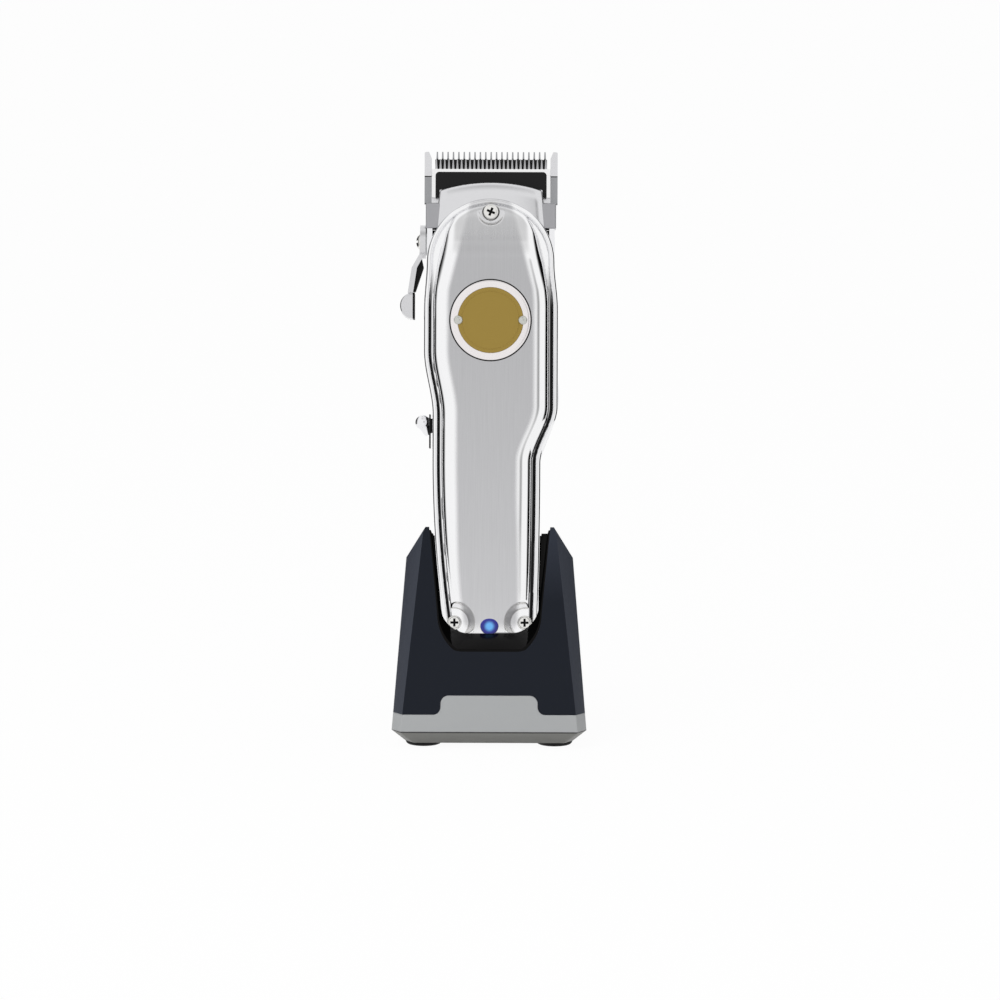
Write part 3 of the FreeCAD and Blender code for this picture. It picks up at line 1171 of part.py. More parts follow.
def make_base_trim():
    band = stand_form(0.0, PAN_TOP_Z, 0.0).cut(stand_form(STAND_WALL, PAN_TOP_Z - 1, STAND_WALL))
    ring = band.common(box(-FAR / 4, FAR / 4, -FAR / 4, FAR / 4, PAN_TOP_Z, BAND_TOP_Z))
    tab = band.common(tab_prism(TAB_HALF, TAB_TOP_Z, -FAR / 4, 0))
    trim_ring = fuse(ring, tab, *screw_posts(PAN_TOP_Z, BAND_TOP_Z))
    for x, y in base_screw_places():
        trim_ring = trim_ring.cut(rod_z(BASE_SCREW_R, x, y, 0, FAR))
    return trim_ring


def octagon(inset, z):
    """Footprint of the stand under the band, moved inwards."""
    x = BASE_HALF_WIDTH - inset
    y = BASE_HALF_DEPTH - inset
    rise = (PAN_TOP_Z - BAND_TOP_Z) / (FACET_HIGH_Z - BAND_TOP_Z)
    cut_x = BASE_HALF_WIDTH - FACET_LOW_X - (FACET_HIGH_X - FACET_LOW_X) * rise
    cut_y = cut_x * FACET_DEPTH / (side_x(BAND_TOP_Z) - FACET_LOW_X)
    right = [(x - cut_x, -y), (x, -y + cut_y), (x, y - cut_y), (x - cut_x, y)]
    return [Vector(px, py, z) for px, py in right + [(-px, py) for px, py in reversed(right)]]


def make_base_pan():
    bottom = octagon(PAN_BEVEL, FOOT_H)
    top = octagon(0.0, PAN_TOP_Z)
    wires = [Part.makePolygon(p + [p[0]]) for p in (bottom, top)]
    pan = Part.makeLoft(wires, True, True)
    hollow = [octagon(PAN_BEVEL + 1.5, FOOT_H + PAN_FLOOR), octagon(STAND_WALL, PAN_TOP_Z + 0.01)]
    pan = pan.cut(Part.makeLoft([Part.makePolygon(p + [p[0]]) for p in hollow], True, True))
    for x, y in base_screw_places():
        pan = pan.fuse(rod_z(POST_R, x, y, FOOT_H, PAN_TOP_Z))
        pan = pan.cut(rod_z(BASE_SCREW_R + HOLE_PLAY, x, y, 0, PAN_TOP_Z + 1))
        pan = pan.cut(rod_z(BASE_SCREW_HEAD_R + HOLE_PLAY, x, y, 0, FOOT_H + BASE_SCREW_SUNK))
    for x, y in foot_places():
        pan = pan.cut(rod_z(FOOT_R, x, y, 0, FOOT_H + FOOT_SUNK))
    return pan.removeSplitter()


def make_rubber_feet():
    feet = []
    for x, y in foot_places():
        foot = rod_z(FOOT_R, x, y, 0, FOOT_H + FOOT_SUNK)
        rim = [e for e in foot.Edges if e.Closed and abs(e.CenterOfMass.z) < 0.01]
        feet.append(foot.makeFillet(FOOT_ROUND, rim))
    return Part.makeCompound(feet)


def make_base_screws():
    head_z = FOOT_H + BASE_SCREW_SUNK
    return Part.makeCompound([screw(Vector(x, y, head_z), Z_AXIS, BASE_SCREW_HEAD_R,
                                    BASE_SCREW_HEAD_H, BASE_SCREW_R, BASE_SCREW_LENGTH)
                              for x, y in base_screw_places()])


def make_ballast_weight():
    floor = FOOT_H + PAN_FLOOR
    return box(-BALLAST_HALF, BALLAST_HALF, -BALLAST_FRONT, BALLAST_BACK, floor,
               floor + BALLAST_HEIGHT)


def make_stand_circuit_board():
    """Board on the underside of the cradle, round the plug, level with the clipper's tail."""
    top = CRADLE_FLOOR_Z
    board = box(-STAND_BOARD_HALF, STAND_BOARD_HALF, SOCKET_Y - STAND_BOARD_DEPTH,
                SOCKET_Y + STAND_BOARD_DEPTH, top - BOARD_THICK, top)
    stem_r = SOCKET_BORE_R - PLUG_PLAY
    board = board.cut(rod_z(stem_r, 0, SOCKET_Y, top - BOARD_THICK - 1, top + 1))
    chip = box(-CHIP_X - CHIP_HALF, CHIP_HALF - CHIP_X, SOCKET_Y - CHIP_Y - CHIP_HALF,
               SOCKET_Y - CHIP_Y + CHIP_HALF, top - BOARD_THICK - CHIP_HEIGHT,
               top - BOARD_THICK)
    return to_world(board.fuse(chip))


def make_dock_plug():
    """Hollow contact plug that stands up into the clipper's charge socket."""
    collar = rod_z(SOCKET_R - SEAT, 0, SOCKET_Y, CRADLE_FLOOR_Z, -CRADLE_CLEAR)
    stem = rod_z(SOCKET_BORE_R - PLUG_PLAY, 0, SOCKET_Y, CRADLE_FLOOR_Z - 4, SOCKET_LENGTH - 3)
    bore = rod_z(SOCKET_PIN_R + PLUG_PLAY + SEAT, 0, SOCKET_Y, 0, SOCKET_LENGTH)
    return to_world(fuse(collar, stem).cut(bore))


def make_power_inlet():
    """Round jack in the rear wall for the adapter's lead."""
    mouth = rear_y(INLET_Z) - INLET_SUNK
    floor = mouth - INLET_LENGTH
    body = rod_y(INLET_R, 0, INLET_Z, floor, mouth)
    bore = rod_y(INLET_BORE_R, 0, INLET_Z, floor + 2.5, mouth)
    pin = rod_y(INLET_PIN_R, 0, INLET_Z, floor + 2, mouth - 1.5)
    return body.cut(bore).fuse(pin)


CLIPPER = {
    "lower_housing": make_lower_housing,
    "lid": make_lid,
    "lid_screws": make_lid_screws,
    "badge_bezel": make_badge_bezel,
    "badge_plate": make_badge_plate,
    "badge_rivets": make_badge_rivets,
    "led_lens": make_led_lens,
    "status_led": make_status_led,
    "fixed_blade": make_fixed_blade,
    "blade_screws": make_blade_screws,
    "cutter": make_cutter,
    "drive_arm": make_drive_arm,
    "tension_spring": make_tension_spring,
    "motor_can": make_motor_can,
    "motor_end_cap": make_motor_end_cap,
    "motor_bushes": make_motor_bushes,
    "motor_magnets": make_motor_magnets,
    "motor_armature": make_armature,
    "motor_commutator": make_commutator,
    "motor_shaft": make_motor_shaft,
    "eccentric_cam": make_eccentric_cam,
    "motor_front_bracket": make_motor_front_bracket,
    "motor_rear_bracket": make_motor_rear_bracket,
    "battery": make_battery,
    "battery_cradle": make_battery_cradle,
    "control_board": make_control_board,
    "charge_socket": make_charge_socket,
    "switch_base": make_switch_base,
    "switch_slider": make_switch_slider,
    "switch_knob": make_switch_knob,
    "taper_lever": make_taper_lever,
    "lever_thumb_pad": make_lever_thumb_pad,
    "lever_pad_backing": make_lever_pad_backing,
    "lever_rib": make_lever_rib,
    "lever_screw": make_lever_screw,
    "lever_washer": make_lever_washer,
    "taper_eccentric": make_taper_eccentric,
    "taper_slide": make_taper_slide,
}

STAND = {
    "stand_body": make_stand_body,
    "cradle_insert": make_cradle_insert,
    "base_trim": make_base_trim,
    "base_pan": make_base_pan,
    "rubber_feet": make_rubber_feet,
    "base_screws": make_base_screws,
    "ballast_weight": make_ballast_weight,
    "stand_circuit_board": make_stand_circuit_board,
    "dock_plug": make_dock_plug,
    "power_inlet": make_power_inlet,
}


def main():
    os.makedirs("parts", exist_ok=True)
    for name, make in CLIPPER.items():
        to_world(make()).exportStep(f"parts/{name}.step")
    for name, make in STAND.items():
        make().exportStep(f"parts/{name}.step")


main()
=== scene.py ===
import bmesh
import bpy
import math
from mathutils import Matrix, Vector


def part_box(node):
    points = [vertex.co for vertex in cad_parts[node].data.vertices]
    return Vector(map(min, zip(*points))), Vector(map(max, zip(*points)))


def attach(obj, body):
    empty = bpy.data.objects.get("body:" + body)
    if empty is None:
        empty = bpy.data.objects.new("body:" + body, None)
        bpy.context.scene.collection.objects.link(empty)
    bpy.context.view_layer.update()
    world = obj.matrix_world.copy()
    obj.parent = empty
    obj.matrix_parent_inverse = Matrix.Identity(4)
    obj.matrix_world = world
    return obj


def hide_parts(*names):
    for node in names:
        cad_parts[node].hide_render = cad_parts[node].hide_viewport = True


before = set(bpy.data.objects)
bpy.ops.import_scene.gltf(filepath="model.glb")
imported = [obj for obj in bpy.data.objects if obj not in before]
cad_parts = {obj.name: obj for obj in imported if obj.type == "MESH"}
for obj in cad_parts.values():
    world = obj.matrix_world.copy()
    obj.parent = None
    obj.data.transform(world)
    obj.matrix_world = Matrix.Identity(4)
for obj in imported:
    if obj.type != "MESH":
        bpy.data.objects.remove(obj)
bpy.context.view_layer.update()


# ---- table, studio and camera ----
# The clipper stands on a white table in a white tent, under one soft lamp. Black cards behind it at
# each side and grey cards overhead and to the right, all fading to white, are drawn in the metal.
def linear(hex_code):
    """An sRGB hex colour as the linear colour that a shader takes."""
    channels = [int(hex_code[i:i + 2], 16) / 255 for i in (1, 3, 5)]
    return [c / 12.92 if c <= 0.04045 else ((c + 0.055) / 1.055) ** 2.4 for c in channels] + [1.0]


def add_node(tree, kind, settings=None, inputs=None):
    """One node with its settings, and a value or another node's output for each named input."""
    node = tree.nodes.new(kind)
    for name, value in (settings or {}).items():
        setattr(node, name, value)
    for name, value in (inputs or {}).items():
        if isinstance(value, bpy.types.NodeSocket):
            tree.links.new(value, node.inputs[name])
        else:
            node.inputs[name].default_value = value
    return node


def mesh_object(name, bm, *materials, crease=35):
    """A finished mesh as an object at the origin, smooth except at edges over crease degrees."""
    mesh = bpy.data.meshes.new(name)
    bm.to_mesh(mesh)
    bm.free()
    mesh.shade_smooth()
    mesh.set_sharp_from_angle(angle=math.radians(crease))
    for material in materials:
        mesh.materials.append(material)
    piece = bpy.data.objects.new(name, mesh)
    bpy.context.scene.collection.objects.link(piece)
    return piece


def seen_directly(tree):
    """1 where the camera, a reflection or glass looks at the surface, 0 where it lights the object."""
    path = add_node(tree, "ShaderNodeLightPath")
    either = add_node(tree, "ShaderNodeMath", {"operation": "MAXIMUM"}, {
        0: path.outputs["Is Camera Ray"], 1: path.outputs["Is Glossy Ray"]})
    seen = add_node(tree, "ShaderNodeMath", {"operation": "MAXIMUM"}, {
        0: either.outputs[0], 1: path.outputs["Is Transmission Ray"]})
    return seen.outputs[0]


scene = bpy.context.scene
scene.view_settings.view_transform = "Standard"

TENT_LIGHT = 0.60        # what the tent's cloth gives the object, where 1 is what is seen of it
tent = bpy.data.worlds.new("white_tent")
tent.use_nodes = True
scene.world = tent
tree = tent.node_tree
tree.nodes.clear()
strength = add_node(tree, "ShaderNodeMapRange", inputs={
    "Value": seen_directly(tree), "To Min": TENT_LIGHT, "To Max": 1.0})
sky = add_node(tree, "ShaderNodeBackground", inputs={
    "Color": linear("#FFFFFF"), "Strength": strength.outputs["Result"]})
add_node(tree, "ShaderNodeOutputWorld", inputs={"Surface": sky.outputs["Background"]})

# Matt white laminate: it runs into the tent's white, and what is left of it takes the shadow.
TABLE_HALF = 15.0
TABLE_WHITE = 0.96
laminate = bpy.data.materials.new("white_laminate")
laminate.use_nodes = True
tree = laminate.node_tree
tree.nodes.clear()
share = add_node(tree, "ShaderNodeMapRange", inputs={
    "Value": seen_directly(tree), "To Min": 0.0, "To Max": TABLE_WHITE})
matt = add_node(tree, "ShaderNodeBsdfDiffuse", inputs={"Color": linear("#F4F4F4")})
white = add_node(tree, "ShaderNodeEmission", inputs={"Color": linear("#FFFFFF"), "Strength": 1.0})
mix = add_node(tree, "ShaderNodeMixShader", inputs={
    0: share.outputs["Result"], 1: matt.outputs[0], 2: white.outputs[0]})
add_node(tree, "ShaderNodeOutputMaterial", inputs={"Surface": mix.outputs[0]})
bm = bmesh.new()
bmesh.ops.create_grid(bm, x_segments=1, y_segments=1, size=TABLE_HALF)
mesh_object("table_top", bm, laminate)

CARD_CENTRE_Z = 0.11


def studio_card(name, colour, size, distance, turn, tilt, core, stretch, solid):
    """A flat card facing the object, turned round it from the camera's side and raised by tilt.

    It keeps its colour round its core, a point of its own width and height, and fades to white."""
    paint = bpy.data.materials.new(name + "_paint")
    paint.use_nodes = True
    tree = paint.node_tree
    tree.nodes.clear()
    place = add_node(tree, "ShaderNodeTexCoord")
    from_core = add_node(tree, "ShaderNodeMapping", inputs={
        "Vector": place.outputs["UV"], "Scale": (*stretch, 0),
        "Location": (-core[0] * stretch[0], -core[1] * stretch[1], 0)})
    away = add_node(tree, "ShaderNodeVectorMath", {"operation": "LENGTH"}, {0: from_core.outputs[0]})
    fade = add_node(tree, "ShaderNodeMapRange", {"interpolation_type": "SMOOTHSTEP"}, {
        "Value": away.outputs["Value"], "From Min": solid, "From Max": 1.0})
    shade = add_node(tree, "ShaderNodeMix", {"data_type": "RGBA"}, {
        "Factor": fade.outputs["Result"], 6: linear(colour), 7: linear("#FFFFFF")})
    glow = add_node(tree, "ShaderNodeEmission", inputs={"Color": shade.outputs[2], "Strength": 1.0})
    add_node(tree, "ShaderNodeOutputMaterial", inputs={"Surface": glow.outputs[0]})
    bm = bmesh.new()
    bm.loops.layers.uv.new("UVMap")
    bmesh.ops.create_grid(bm, x_segments=1, y_segments=1, size=0.5, calc_uvs=True)
    stand_up = (Matrix.Translation((0, 0, CARD_CENTRE_Z)) @ Matrix.Rotation(math.radians(turn), 4, "Z")
                @ Matrix.Rotation(math.radians(-tilt), 4, "X") @ Matrix.Translation((0, -distance, 0))
                @ Matrix.Rotation(math.radians(90), 4, "X") @ Matrix.Diagonal((*size, 1, 1)))
    bmesh.ops.transform(bm, matrix=stand_up, verts=bm.verts)
    card = mesh_object(name, bm, paint)
    card.visible_camera = False
    card.visible_diffuse = False
    card.visible_shadow = False


# Name, colour, size, distance, turn, tilt, core, stretch of the fade, and share that stays solid.
studio_card("left_card", "#161616", (0.46, 0.8), 0.34, -112, 0, (0.0, 0.5), (1.0, 2.0), 0.45)
studio_card("right_card", "#070707", (0.44, 0.8), 0.34, 110, 0, (1.0, 0.5), (1.0, 2.0), 0.62)
studio_card("top_card", "#D6D6D6", (1.1, 1.0), 0.90, 0, 68, (0.5, 0.5), (2.0, 2.0), 0.0)
studio_card("front_card", "#9C9C9C", (0.60, 0.9), 1.1, 22, 14, (0.5, 0.5), (2.0, 2.0), 0.0)

soft_box = bpy.data.lights.new("soft_box", "AREA")
soft_box.shape = "RECTANGLE"
soft_box.size = 0.9
soft_box.size_y = 0.7
soft_box.energy = 10.0
lamp = bpy.data.objects.new("soft_box", soft_box)
lamp.location = (-0.55, -0.95, 1.15)
lamp.rotation_euler = (-Vector(lamp.location)).to_track_quat("-Z", "Y").to_euler()
lamp.visible_glossy = False
scene.collection.objects.link(lamp)

CAMERA_DISTANCE = 1.5
CAMERA_TILT = math.radians(8)
CAMERA_ROLL = math.radians(0.2)
aim = Vector((0.0034, -0.010, 0.08002))
lens = bpy.data.cameras.new("camera")
lens.lens = 160.05
lens.sensor_width = 36
camera = bpy.data.objects.new("camera", lens)
camera.location = aim + CAMERA_DISTANCE * Vector((0, -math.cos(CAMERA_TILT), math.sin(CAMERA_TILT)))
look = Matrix.Rotation(math.radians(90) - CAMERA_TILT, 3, "X") @ Matrix.Rotation(CAMERA_ROLL, 3, "Z")
camera.rotation_euler = look.to_euler()
scene.collection.objects.link(camera)
scene.camera = camera


# ---- lid ----
# The front shell: a zinc casting, ground, plated and polished, with its raised panel brushed satin.
# A round bead runs along its edge, and three screws hold it to the housing.
MM = 0.001
LEAN = math.radians(10)          # the clipper leans back in its stand
CLIPPER_FOOT = Vector((0, -0.018, 0.0331))
CLIPPER = Matrix.Translation(CLIPPER_FOOT) @ Matrix.Rotation(-LEAN, 4, "X")
FROM_DRAWING = CLIPPER @ Matrix.Scale(MM, 4)     # millimetres along the clipper, to the world

NOSE_HALF = 21.6
GRIP_LEFT = 19.45
GRIP_RIGHT = 17.05
GRIP_MID_Z = 62.0
DRAW_LEFT = 0.00131      # how fast each side draws in below the middle of the grip
DRAW_RIGHT = 0.0003
HEAD_LEFT = NOSE_HALF + 0.9
HEAD_RIGHT = NOSE_HALF + 1.2
SWELL_LEFT = (76.0, 22.0)        # where each side starts to swell to the head, and over how long
SWELL_RIGHT = (60.0, 19.0)
NOSE_DRAW = (112.0, 15.8)        # the same for both sides' way in to the nose
ARCH_Z = 127.8
LID_TOP_Z = ARCH_Z + NOSE_HALF
TAIL_ROUND = 7.0
FLANGE = 1.8
RIM_WIDTH = 2.0
RIM_HEIGHT = 3.4
RIM_MIDDLE = 1.0
PANEL_INSET = 3.9
PANEL_TOP = 11.0
PANEL_TAPER_Z = 118.0
PANEL_END_Z = LID_TOP_Z - 2.4
PANEL_END_HALF = 11.3
FLANK_START = 1.95       # the panel's flank starts this far outside its edge
FLANK_FOOT = 1.75        # its width, and how much wider it is for each mm of the panel's height
FLANK_GROWTH = 0.54
FLANK_FILLET = 0.08      # the share of the flank that its foot takes
END_START = 1.7
END_WIDTH = 2.6
SCREW_X = 11.8
SCREW_Z = 6.2
NOSE_SCREW_Z = LID_TOP_Z - 4.7
POCKET_FLOOR = 3.0
POCKET = (4.5, 2.9)      # radius of a tail screw's pocket, and width of its wall
NOSE_POCKET = ((4.3, 3.7, 1.2), (POCKET_FLOOR, 2.5, 0.5))    # floor, radius and wall of its steps
CROWNS = ((1.6, PANEL_TOP - 4.6), (3.5, PANEL_TOP - 3.4), (7.0, PANEL_TOP - 2.2),
          (17.0, PANEL_TOP - 1.0), (40.0, PANEL_TOP), (PANEL_TAPER_Z, PANEL_TOP),
          (128.0, PANEL_TOP - 0.2), (134.0, PANEL_TOP - 1.8), (139.0, RIM_HEIGHT + 3.4),
          (143.0, RIM_HEIGHT + 1.6), (PANEL_END_Z, RIM_HEIGHT + 0.3))


def ease(value, start, rise):
    """0 before start, 1 after start + rise, and a smooth step between them."""
    t = min(max((value - start) / rise, 0.0), 1.0)
    return t * t * (3 - 2 * t)


def along(stations, z):
    """The value at z of a smooth line through (z, value) stations."""
    last = len(stations) - 1
    i = max([k for k in range(last) if stations[k][0] <= z] or [0])
    z0, v0 = stations[i]
    z1, v1 = stations[i + 1]
    t = min(max((z - z0) / (z1 - z0), 0.0), 1.0)

    def slope(k):
        """Slope at a station: level at a peak, and the harmonic mean of its two runs elsewhere."""
        k = min(max(k, 1), last - 1)
        before = (stations[k][1] - stations[k - 1][1]) / (stations[k][0] - stations[k - 1][0])
        after = (stations[k + 1][1] - stations[k][1]) / (stations[k + 1][0] - stations[k][0])
        return 0.0 if before * after <= 0 else 2 * before * after / (before + after)

    return ((2 * t ** 3 - 3 * t * t + 1) * v0 + (t ** 3 - 2 * t * t + t) * (z1 - z0) * slope(i)
            + (3 * t * t - 2 * t ** 3) * v1 + (t ** 3 - t * t) * (z1 - z0) * slope(i + 1))


def side_half(z, left):
    """Half width of the clipper at a height along it, without the rounding of its tail."""
    grip, head = (GRIP_LEFT, HEAD_LEFT) if left else (GRIP_RIGHT, HEAD_RIGHT)
    draw, swell = (DRAW_LEFT, SWELL_LEFT) if left else (DRAW_RIGHT, SWELL_RIGHT)
    half = grip - draw * max(0.0, GRIP_MID_Z - z) ** 2 + (head - grip) * ease(z, *swell)
    return half - (head - NOSE_HALF) * ease(z, *NOSE_DRAW)


def tail_rounding(z):
    """How far the round corner of the tail takes the side in."""
    return TAIL_ROUND - math.sqrt(TAIL_ROUND ** 2 - max(0.0, TAIL_ROUND - z) ** 2)


def rim_gap(x, z):
    """How far a point of the lid lies inside its edge."""
    if z > ARCH_Z:
        return NOSE_HALF - math.hypot(x, z - ARCH_Z)
    side = side_half(z, x < 0) - abs(x)
    if z < TAIL_ROUND and side < TAIL_ROUND:
        return TAIL_ROUND - math.hypot(TAIL_ROUND - side, TAIL_ROUND - z)
    return min(side, z)


def panel_gap(x, z):
    """How far a point of the lid lies inside the raised panel's long edge."""
    base = min(z, PANEL_TAPER_Z)
    half = side_half(base, x < 0) - tail_rounding(base) - PANEL_INSET
    taper = max(0.0, z - PANEL_TAPER_Z) / (PANEL_END_Z - PANEL_TAPER_Z)
    return half + (PANEL_END_HALF - half) * taper - abs(x)


def sunk(height, floor, distance, start, rise):
    """The height taken down to a pocket's floor round a screw, with a soft wall."""
    return height if height < floor else floor + (height - floor) * ease(distance, start, rise)


def lid_height(x, z):
    """Height of the lid's outside over the parting plane."""
    gap = rim_gap(x, z)
    bead = FLANGE
    if gap < RIM_WIDTH:
        bead += (RIM_HEIGHT - FLANGE) * math.sqrt(max(0.0, 1 - (gap - RIM_MIDDLE) ** 2))
    crown = along(CROWNS, z)
    flank = (panel_gap(x, z) + FLANK_START) / (FLANK_FOOT + FLANK_GROWTH * (crown - FLANGE))
    end = (gap - END_START) / END_WIDTH
    flank = min(max(flank, 0.0), 1.0)
    end = min(max(end, 0.0), 1.0)
    inside = 1 - min(math.hypot(1 - flank, 1 - end), 1.0)
    profile = math.sqrt((1 - (1 - inside) ** 3) * min(inside / FLANK_FILLET, 1.0))
    panel = FLANGE + (crown - FLANGE) * profile
    panel = sunk(panel, POCKET_FLOOR, math.hypot(abs(x) - SCREW_X, z - SCREW_Z), *POCKET)
    for floor, radius, wall in NOSE_POCKET:
        panel = sunk(panel, floor, math.hypot(x, z - NOSE_SCREW_Z), radius, wall)
    return max(bead, panel)


TAIL_ROWS = 0.16         # the share of the rows that ends at the tail's corners, screws and nose
SCREW_ROWS = 0.30
SIDE_ROWS = 0.74
SCREW_ROWS_Z = 17.0


def row_height(row):
    """Height of a row of the lid's mesh: close rows round the tail's screws and over the nose."""
    if row < TAIL_ROWS:
        return TAIL_ROUND * (1 - math.cos(row / TAIL_ROWS * math.pi / 2))
    if row < SCREW_ROWS:
        share = (row - TAIL_ROWS) / (SCREW_ROWS - TAIL_ROWS)
        return TAIL_ROUND + share * (SCREW_ROWS_Z - TAIL_ROUND)
    if row < SIDE_ROWS:
        share = (row - SCREW_ROWS) / (SIDE_ROWS - SCREW_ROWS)
        return SCREW_ROWS_Z + share * (ARCH_Z - SCREW_ROWS_Z)
    return ARCH_Z + NOSE_HALF * math.sin((row - SIDE_ROWS) / (1 - SIDE_ROWS) * math.pi / 2)


def close_back(bm, back):
    """An open sheet gets a skirt down to a flat back, and becomes a closed solid."""
    skirt = bmesh.ops.extrude_edge_only(bm, edges=[e for e in bm.edges if e.is_boundary])
    for v in (g for g in skirt["geom"] if isinstance(g, bmesh.types.BMVert)):
        v.co.y = back
    bmesh.ops.holes_fill(bm, edges=[e for e in bm.edges if e.is_boundary], sides=0)
    bmesh.ops.remove_doubles(bm, verts=bm.verts, dist=1e-4)
    bmesh.ops.recalc_face_normals(bm, faces=bm.faces)


# A sheet pressed to the lid's form. The brushing keeps off the panel's flanks and the tail's edge and
# thins out over the nose, and the painted shade of the groove between bead and panel ends at the nose.
EDGE_CROWDING = 0.25     # how much closer the mesh's columns stand at the edge
BRUSH_START = 1.9        # how far inside the panel's edge the brushing starts at the tail
BRUSH_INDENT = 1.3       # how much further inside it starts up the grip, where its flanks are wider
BRUSH_INDENT_Z = (12, 40)        # like the other pairs in _Z, a start and a length along the clipper
BRUSH_FADE = 2.0
BRUSH_TAIL_Z = (2, 5)
NOSE_THINNING = 0.45
NOSE_THINNING_Z = (128, 14)
VALLEY_LEFT = 2.1        # how far inside the lid's edge the groove lies
VALLEY_RIGHT = 2.35
VALLEY_FADE = (0.3, 0.4)         # its half width, and how far beyond that its painted shade fades out
VALLEY_END_Z = (112, 16)
bm = bmesh.new()
bmesh.ops.create_grid(bm, x_segments=230, y_segments=310, size=1.0)
satin = bm.verts.layers.float.new("satin")
groove = bm.verts.layers.float.new("groove")
for v in bm.verts:
    z = row_height((v.co.y + 1) / 2)
    if z > ARCH_Z:
        half = math.sqrt(max(0.0, NOSE_HALF ** 2 - (z - ARCH_Z) ** 2))
    else:
        half = side_half(z, v.co.x < 0) - tail_rounding(z)
    across = abs(v.co.x)
    x = math.copysign(half * across * (1 + EDGE_CROWDING - EDGE_CROWDING * across ** 2), v.co.x)
    brushed_edge = BRUSH_START + BRUSH_INDENT * ease(z, *BRUSH_INDENT_Z)
    thinned = 1 - NOSE_THINNING * ease(z, *NOSE_THINNING_Z)
    v[satin] = ease(panel_gap(x, z), brushed_edge, BRUSH_FADE) * thinned * ease(z, *BRUSH_TAIL_Z)
    valley = VALLEY_LEFT if x < 0 else VALLEY_RIGHT
    in_valley = 1 - ease(abs(rim_gap(x, z) - valley), *VALLEY_FADE)
    v[groove] = in_valley * (1 - ease(z, *VALLEY_END_Z))
    v.co = (x, -lid_height(x, z), z)
close_back(bm, 0)
bmesh.ops.transform(bm, matrix=FROM_DRAWING, verts=bm.verts)


def pattern_place(tree, size, centre=None):
    """Object coordinates straight along the clipper, measured in a pattern's own size in mm."""
    place = add_node(tree, "ShaderNodeTexCoord")
    mapping = add_node(tree, "ShaderNodeMapping", {"vector_type": "TEXTURE"}, {
        "Vector": place.outputs["Object"], "Location": centre or CLIPPER_FOOT,
        "Rotation": (-LEAN, 0, 0), "Scale": [s * MM for s in size]})
    return mapping.outputs["Vector"]


def finish(name, colour, metallic, roughness, grain, spread=0.05, relief=0.0, tone="#FFFFFF",
           specular=0.5):
    """A material whose gloss, relief and tone vary over a grain of that size in mm."""
    material = bpy.data.materials.new(name)
    material.use_nodes = True
    tree = material.node_tree
    shader = tree.nodes["Principled BSDF"]
    shader.inputs["Metallic"].default_value = metallic
    shader.inputs["Specular IOR Level"].default_value = specular
    noise = add_node(tree, "ShaderNodeTexNoise", inputs={
        "Vector": pattern_place(tree, grain), "Scale": 1.0, "Detail": 3.0, "Roughness": 0.6})
    shade = add_node(tree, "ShaderNodeMix", {"data_type": "RGBA", "blend_type": "MULTIPLY"}, {
        "Factor": noise.outputs["Fac"], 6: linear(colour), 7: linear(tone)})
    tree.links.new(shade.outputs[2], shader.inputs["Base Color"])
    gloss = add_node(tree, "ShaderNodeMapRange", inputs={
        "Value": noise.outputs["Fac"], "From Min": 0.3, "From Max": 0.7,
        "To Min": roughness - spread, "To Max": roughness + spread})
    tree.links.new(gloss.outputs["Result"], shader.inputs["Roughness"])
    if relief:
        bump = add_node(tree, "ShaderNodeBump", inputs={
            "Height": noise.outputs["Fac"], "Strength": 0.5, "Distance": relief * MM})
        tree.links.new(bump.outputs["Normal"], shader.inputs["Normal"])
    return material


# Chrome over polished zinc: mirror bright on the bead and the panel's flanks, with painted shade, a
# near black base colour, in the groove between them. The panel was brushed along the grip after
# polishing, and its lines are drawn 0.3 mm apart, coarser than a real belt's, so that they show.
# Painted light makes it paler towards the tail, between two heights in units of 100 mm.
TAIL_LIGHT_PAINT_START = 1.2
TAIL_LIGHT_PAINT_END = 0.1
lid_chrome = bpy.data.materials.new("chrome_with_satin_panel")
lid_chrome.use_nodes = True
tree = lid_chrome.node_tree
shader = tree.nodes["Principled BSDF"]
shader.inputs["Metallic"].default_value = 1.0
brushing = add_node(tree, "ShaderNodeTexNoise", inputs={
    "Vector": pattern_place(tree, (0.3, 14.0, 14.0)), "Scale": 1.0, "Detail": 3.0})
brushed = add_node(tree, "ShaderNodeAttribute", {"attribute_name": "satin"}).outputs["Fac"]
length = add_node(tree, "ShaderNodeSeparateXYZ", inputs={"Vector": pattern_place(tree, (1, 1, 100))})
# Painted light: the brush lines' colours grow paler towards the tail.
painted_tail_light = add_node(tree, "ShaderNodeMapRange", inputs={
    "Value": length.outputs["Z"], "From Min": TAIL_LIGHT_PAINT_START, "From Max": TAIL_LIGHT_PAINT_END})
dark_line = add_node(tree, "ShaderNodeMix", {"data_type": "RGBA"}, {
    "Factor": painted_tail_light.outputs["Result"], 6: linear("#B4B4B6"), 7: linear("#C2C2C4")})
light_line = add_node(tree, "ShaderNodeMix", {"data_type": "RGBA"}, {
    "Factor": painted_tail_light.outputs["Result"], 6: linear("#C4C4C6"), 7: linear("#D2D2D4")})
streak = add_node(tree, "ShaderNodeMix", {"data_type": "RGBA"}, {
    "Factor": brushing.outputs["Fac"], 6: dark_line.outputs[2], 7: light_line.outputs[2]})
tone = add_node(tree, "ShaderNodeMix", {"data_type": "RGBA"}, {
    "Factor": brushed, 6: linear("#F4F4F5"), 7: streak.outputs[2]})
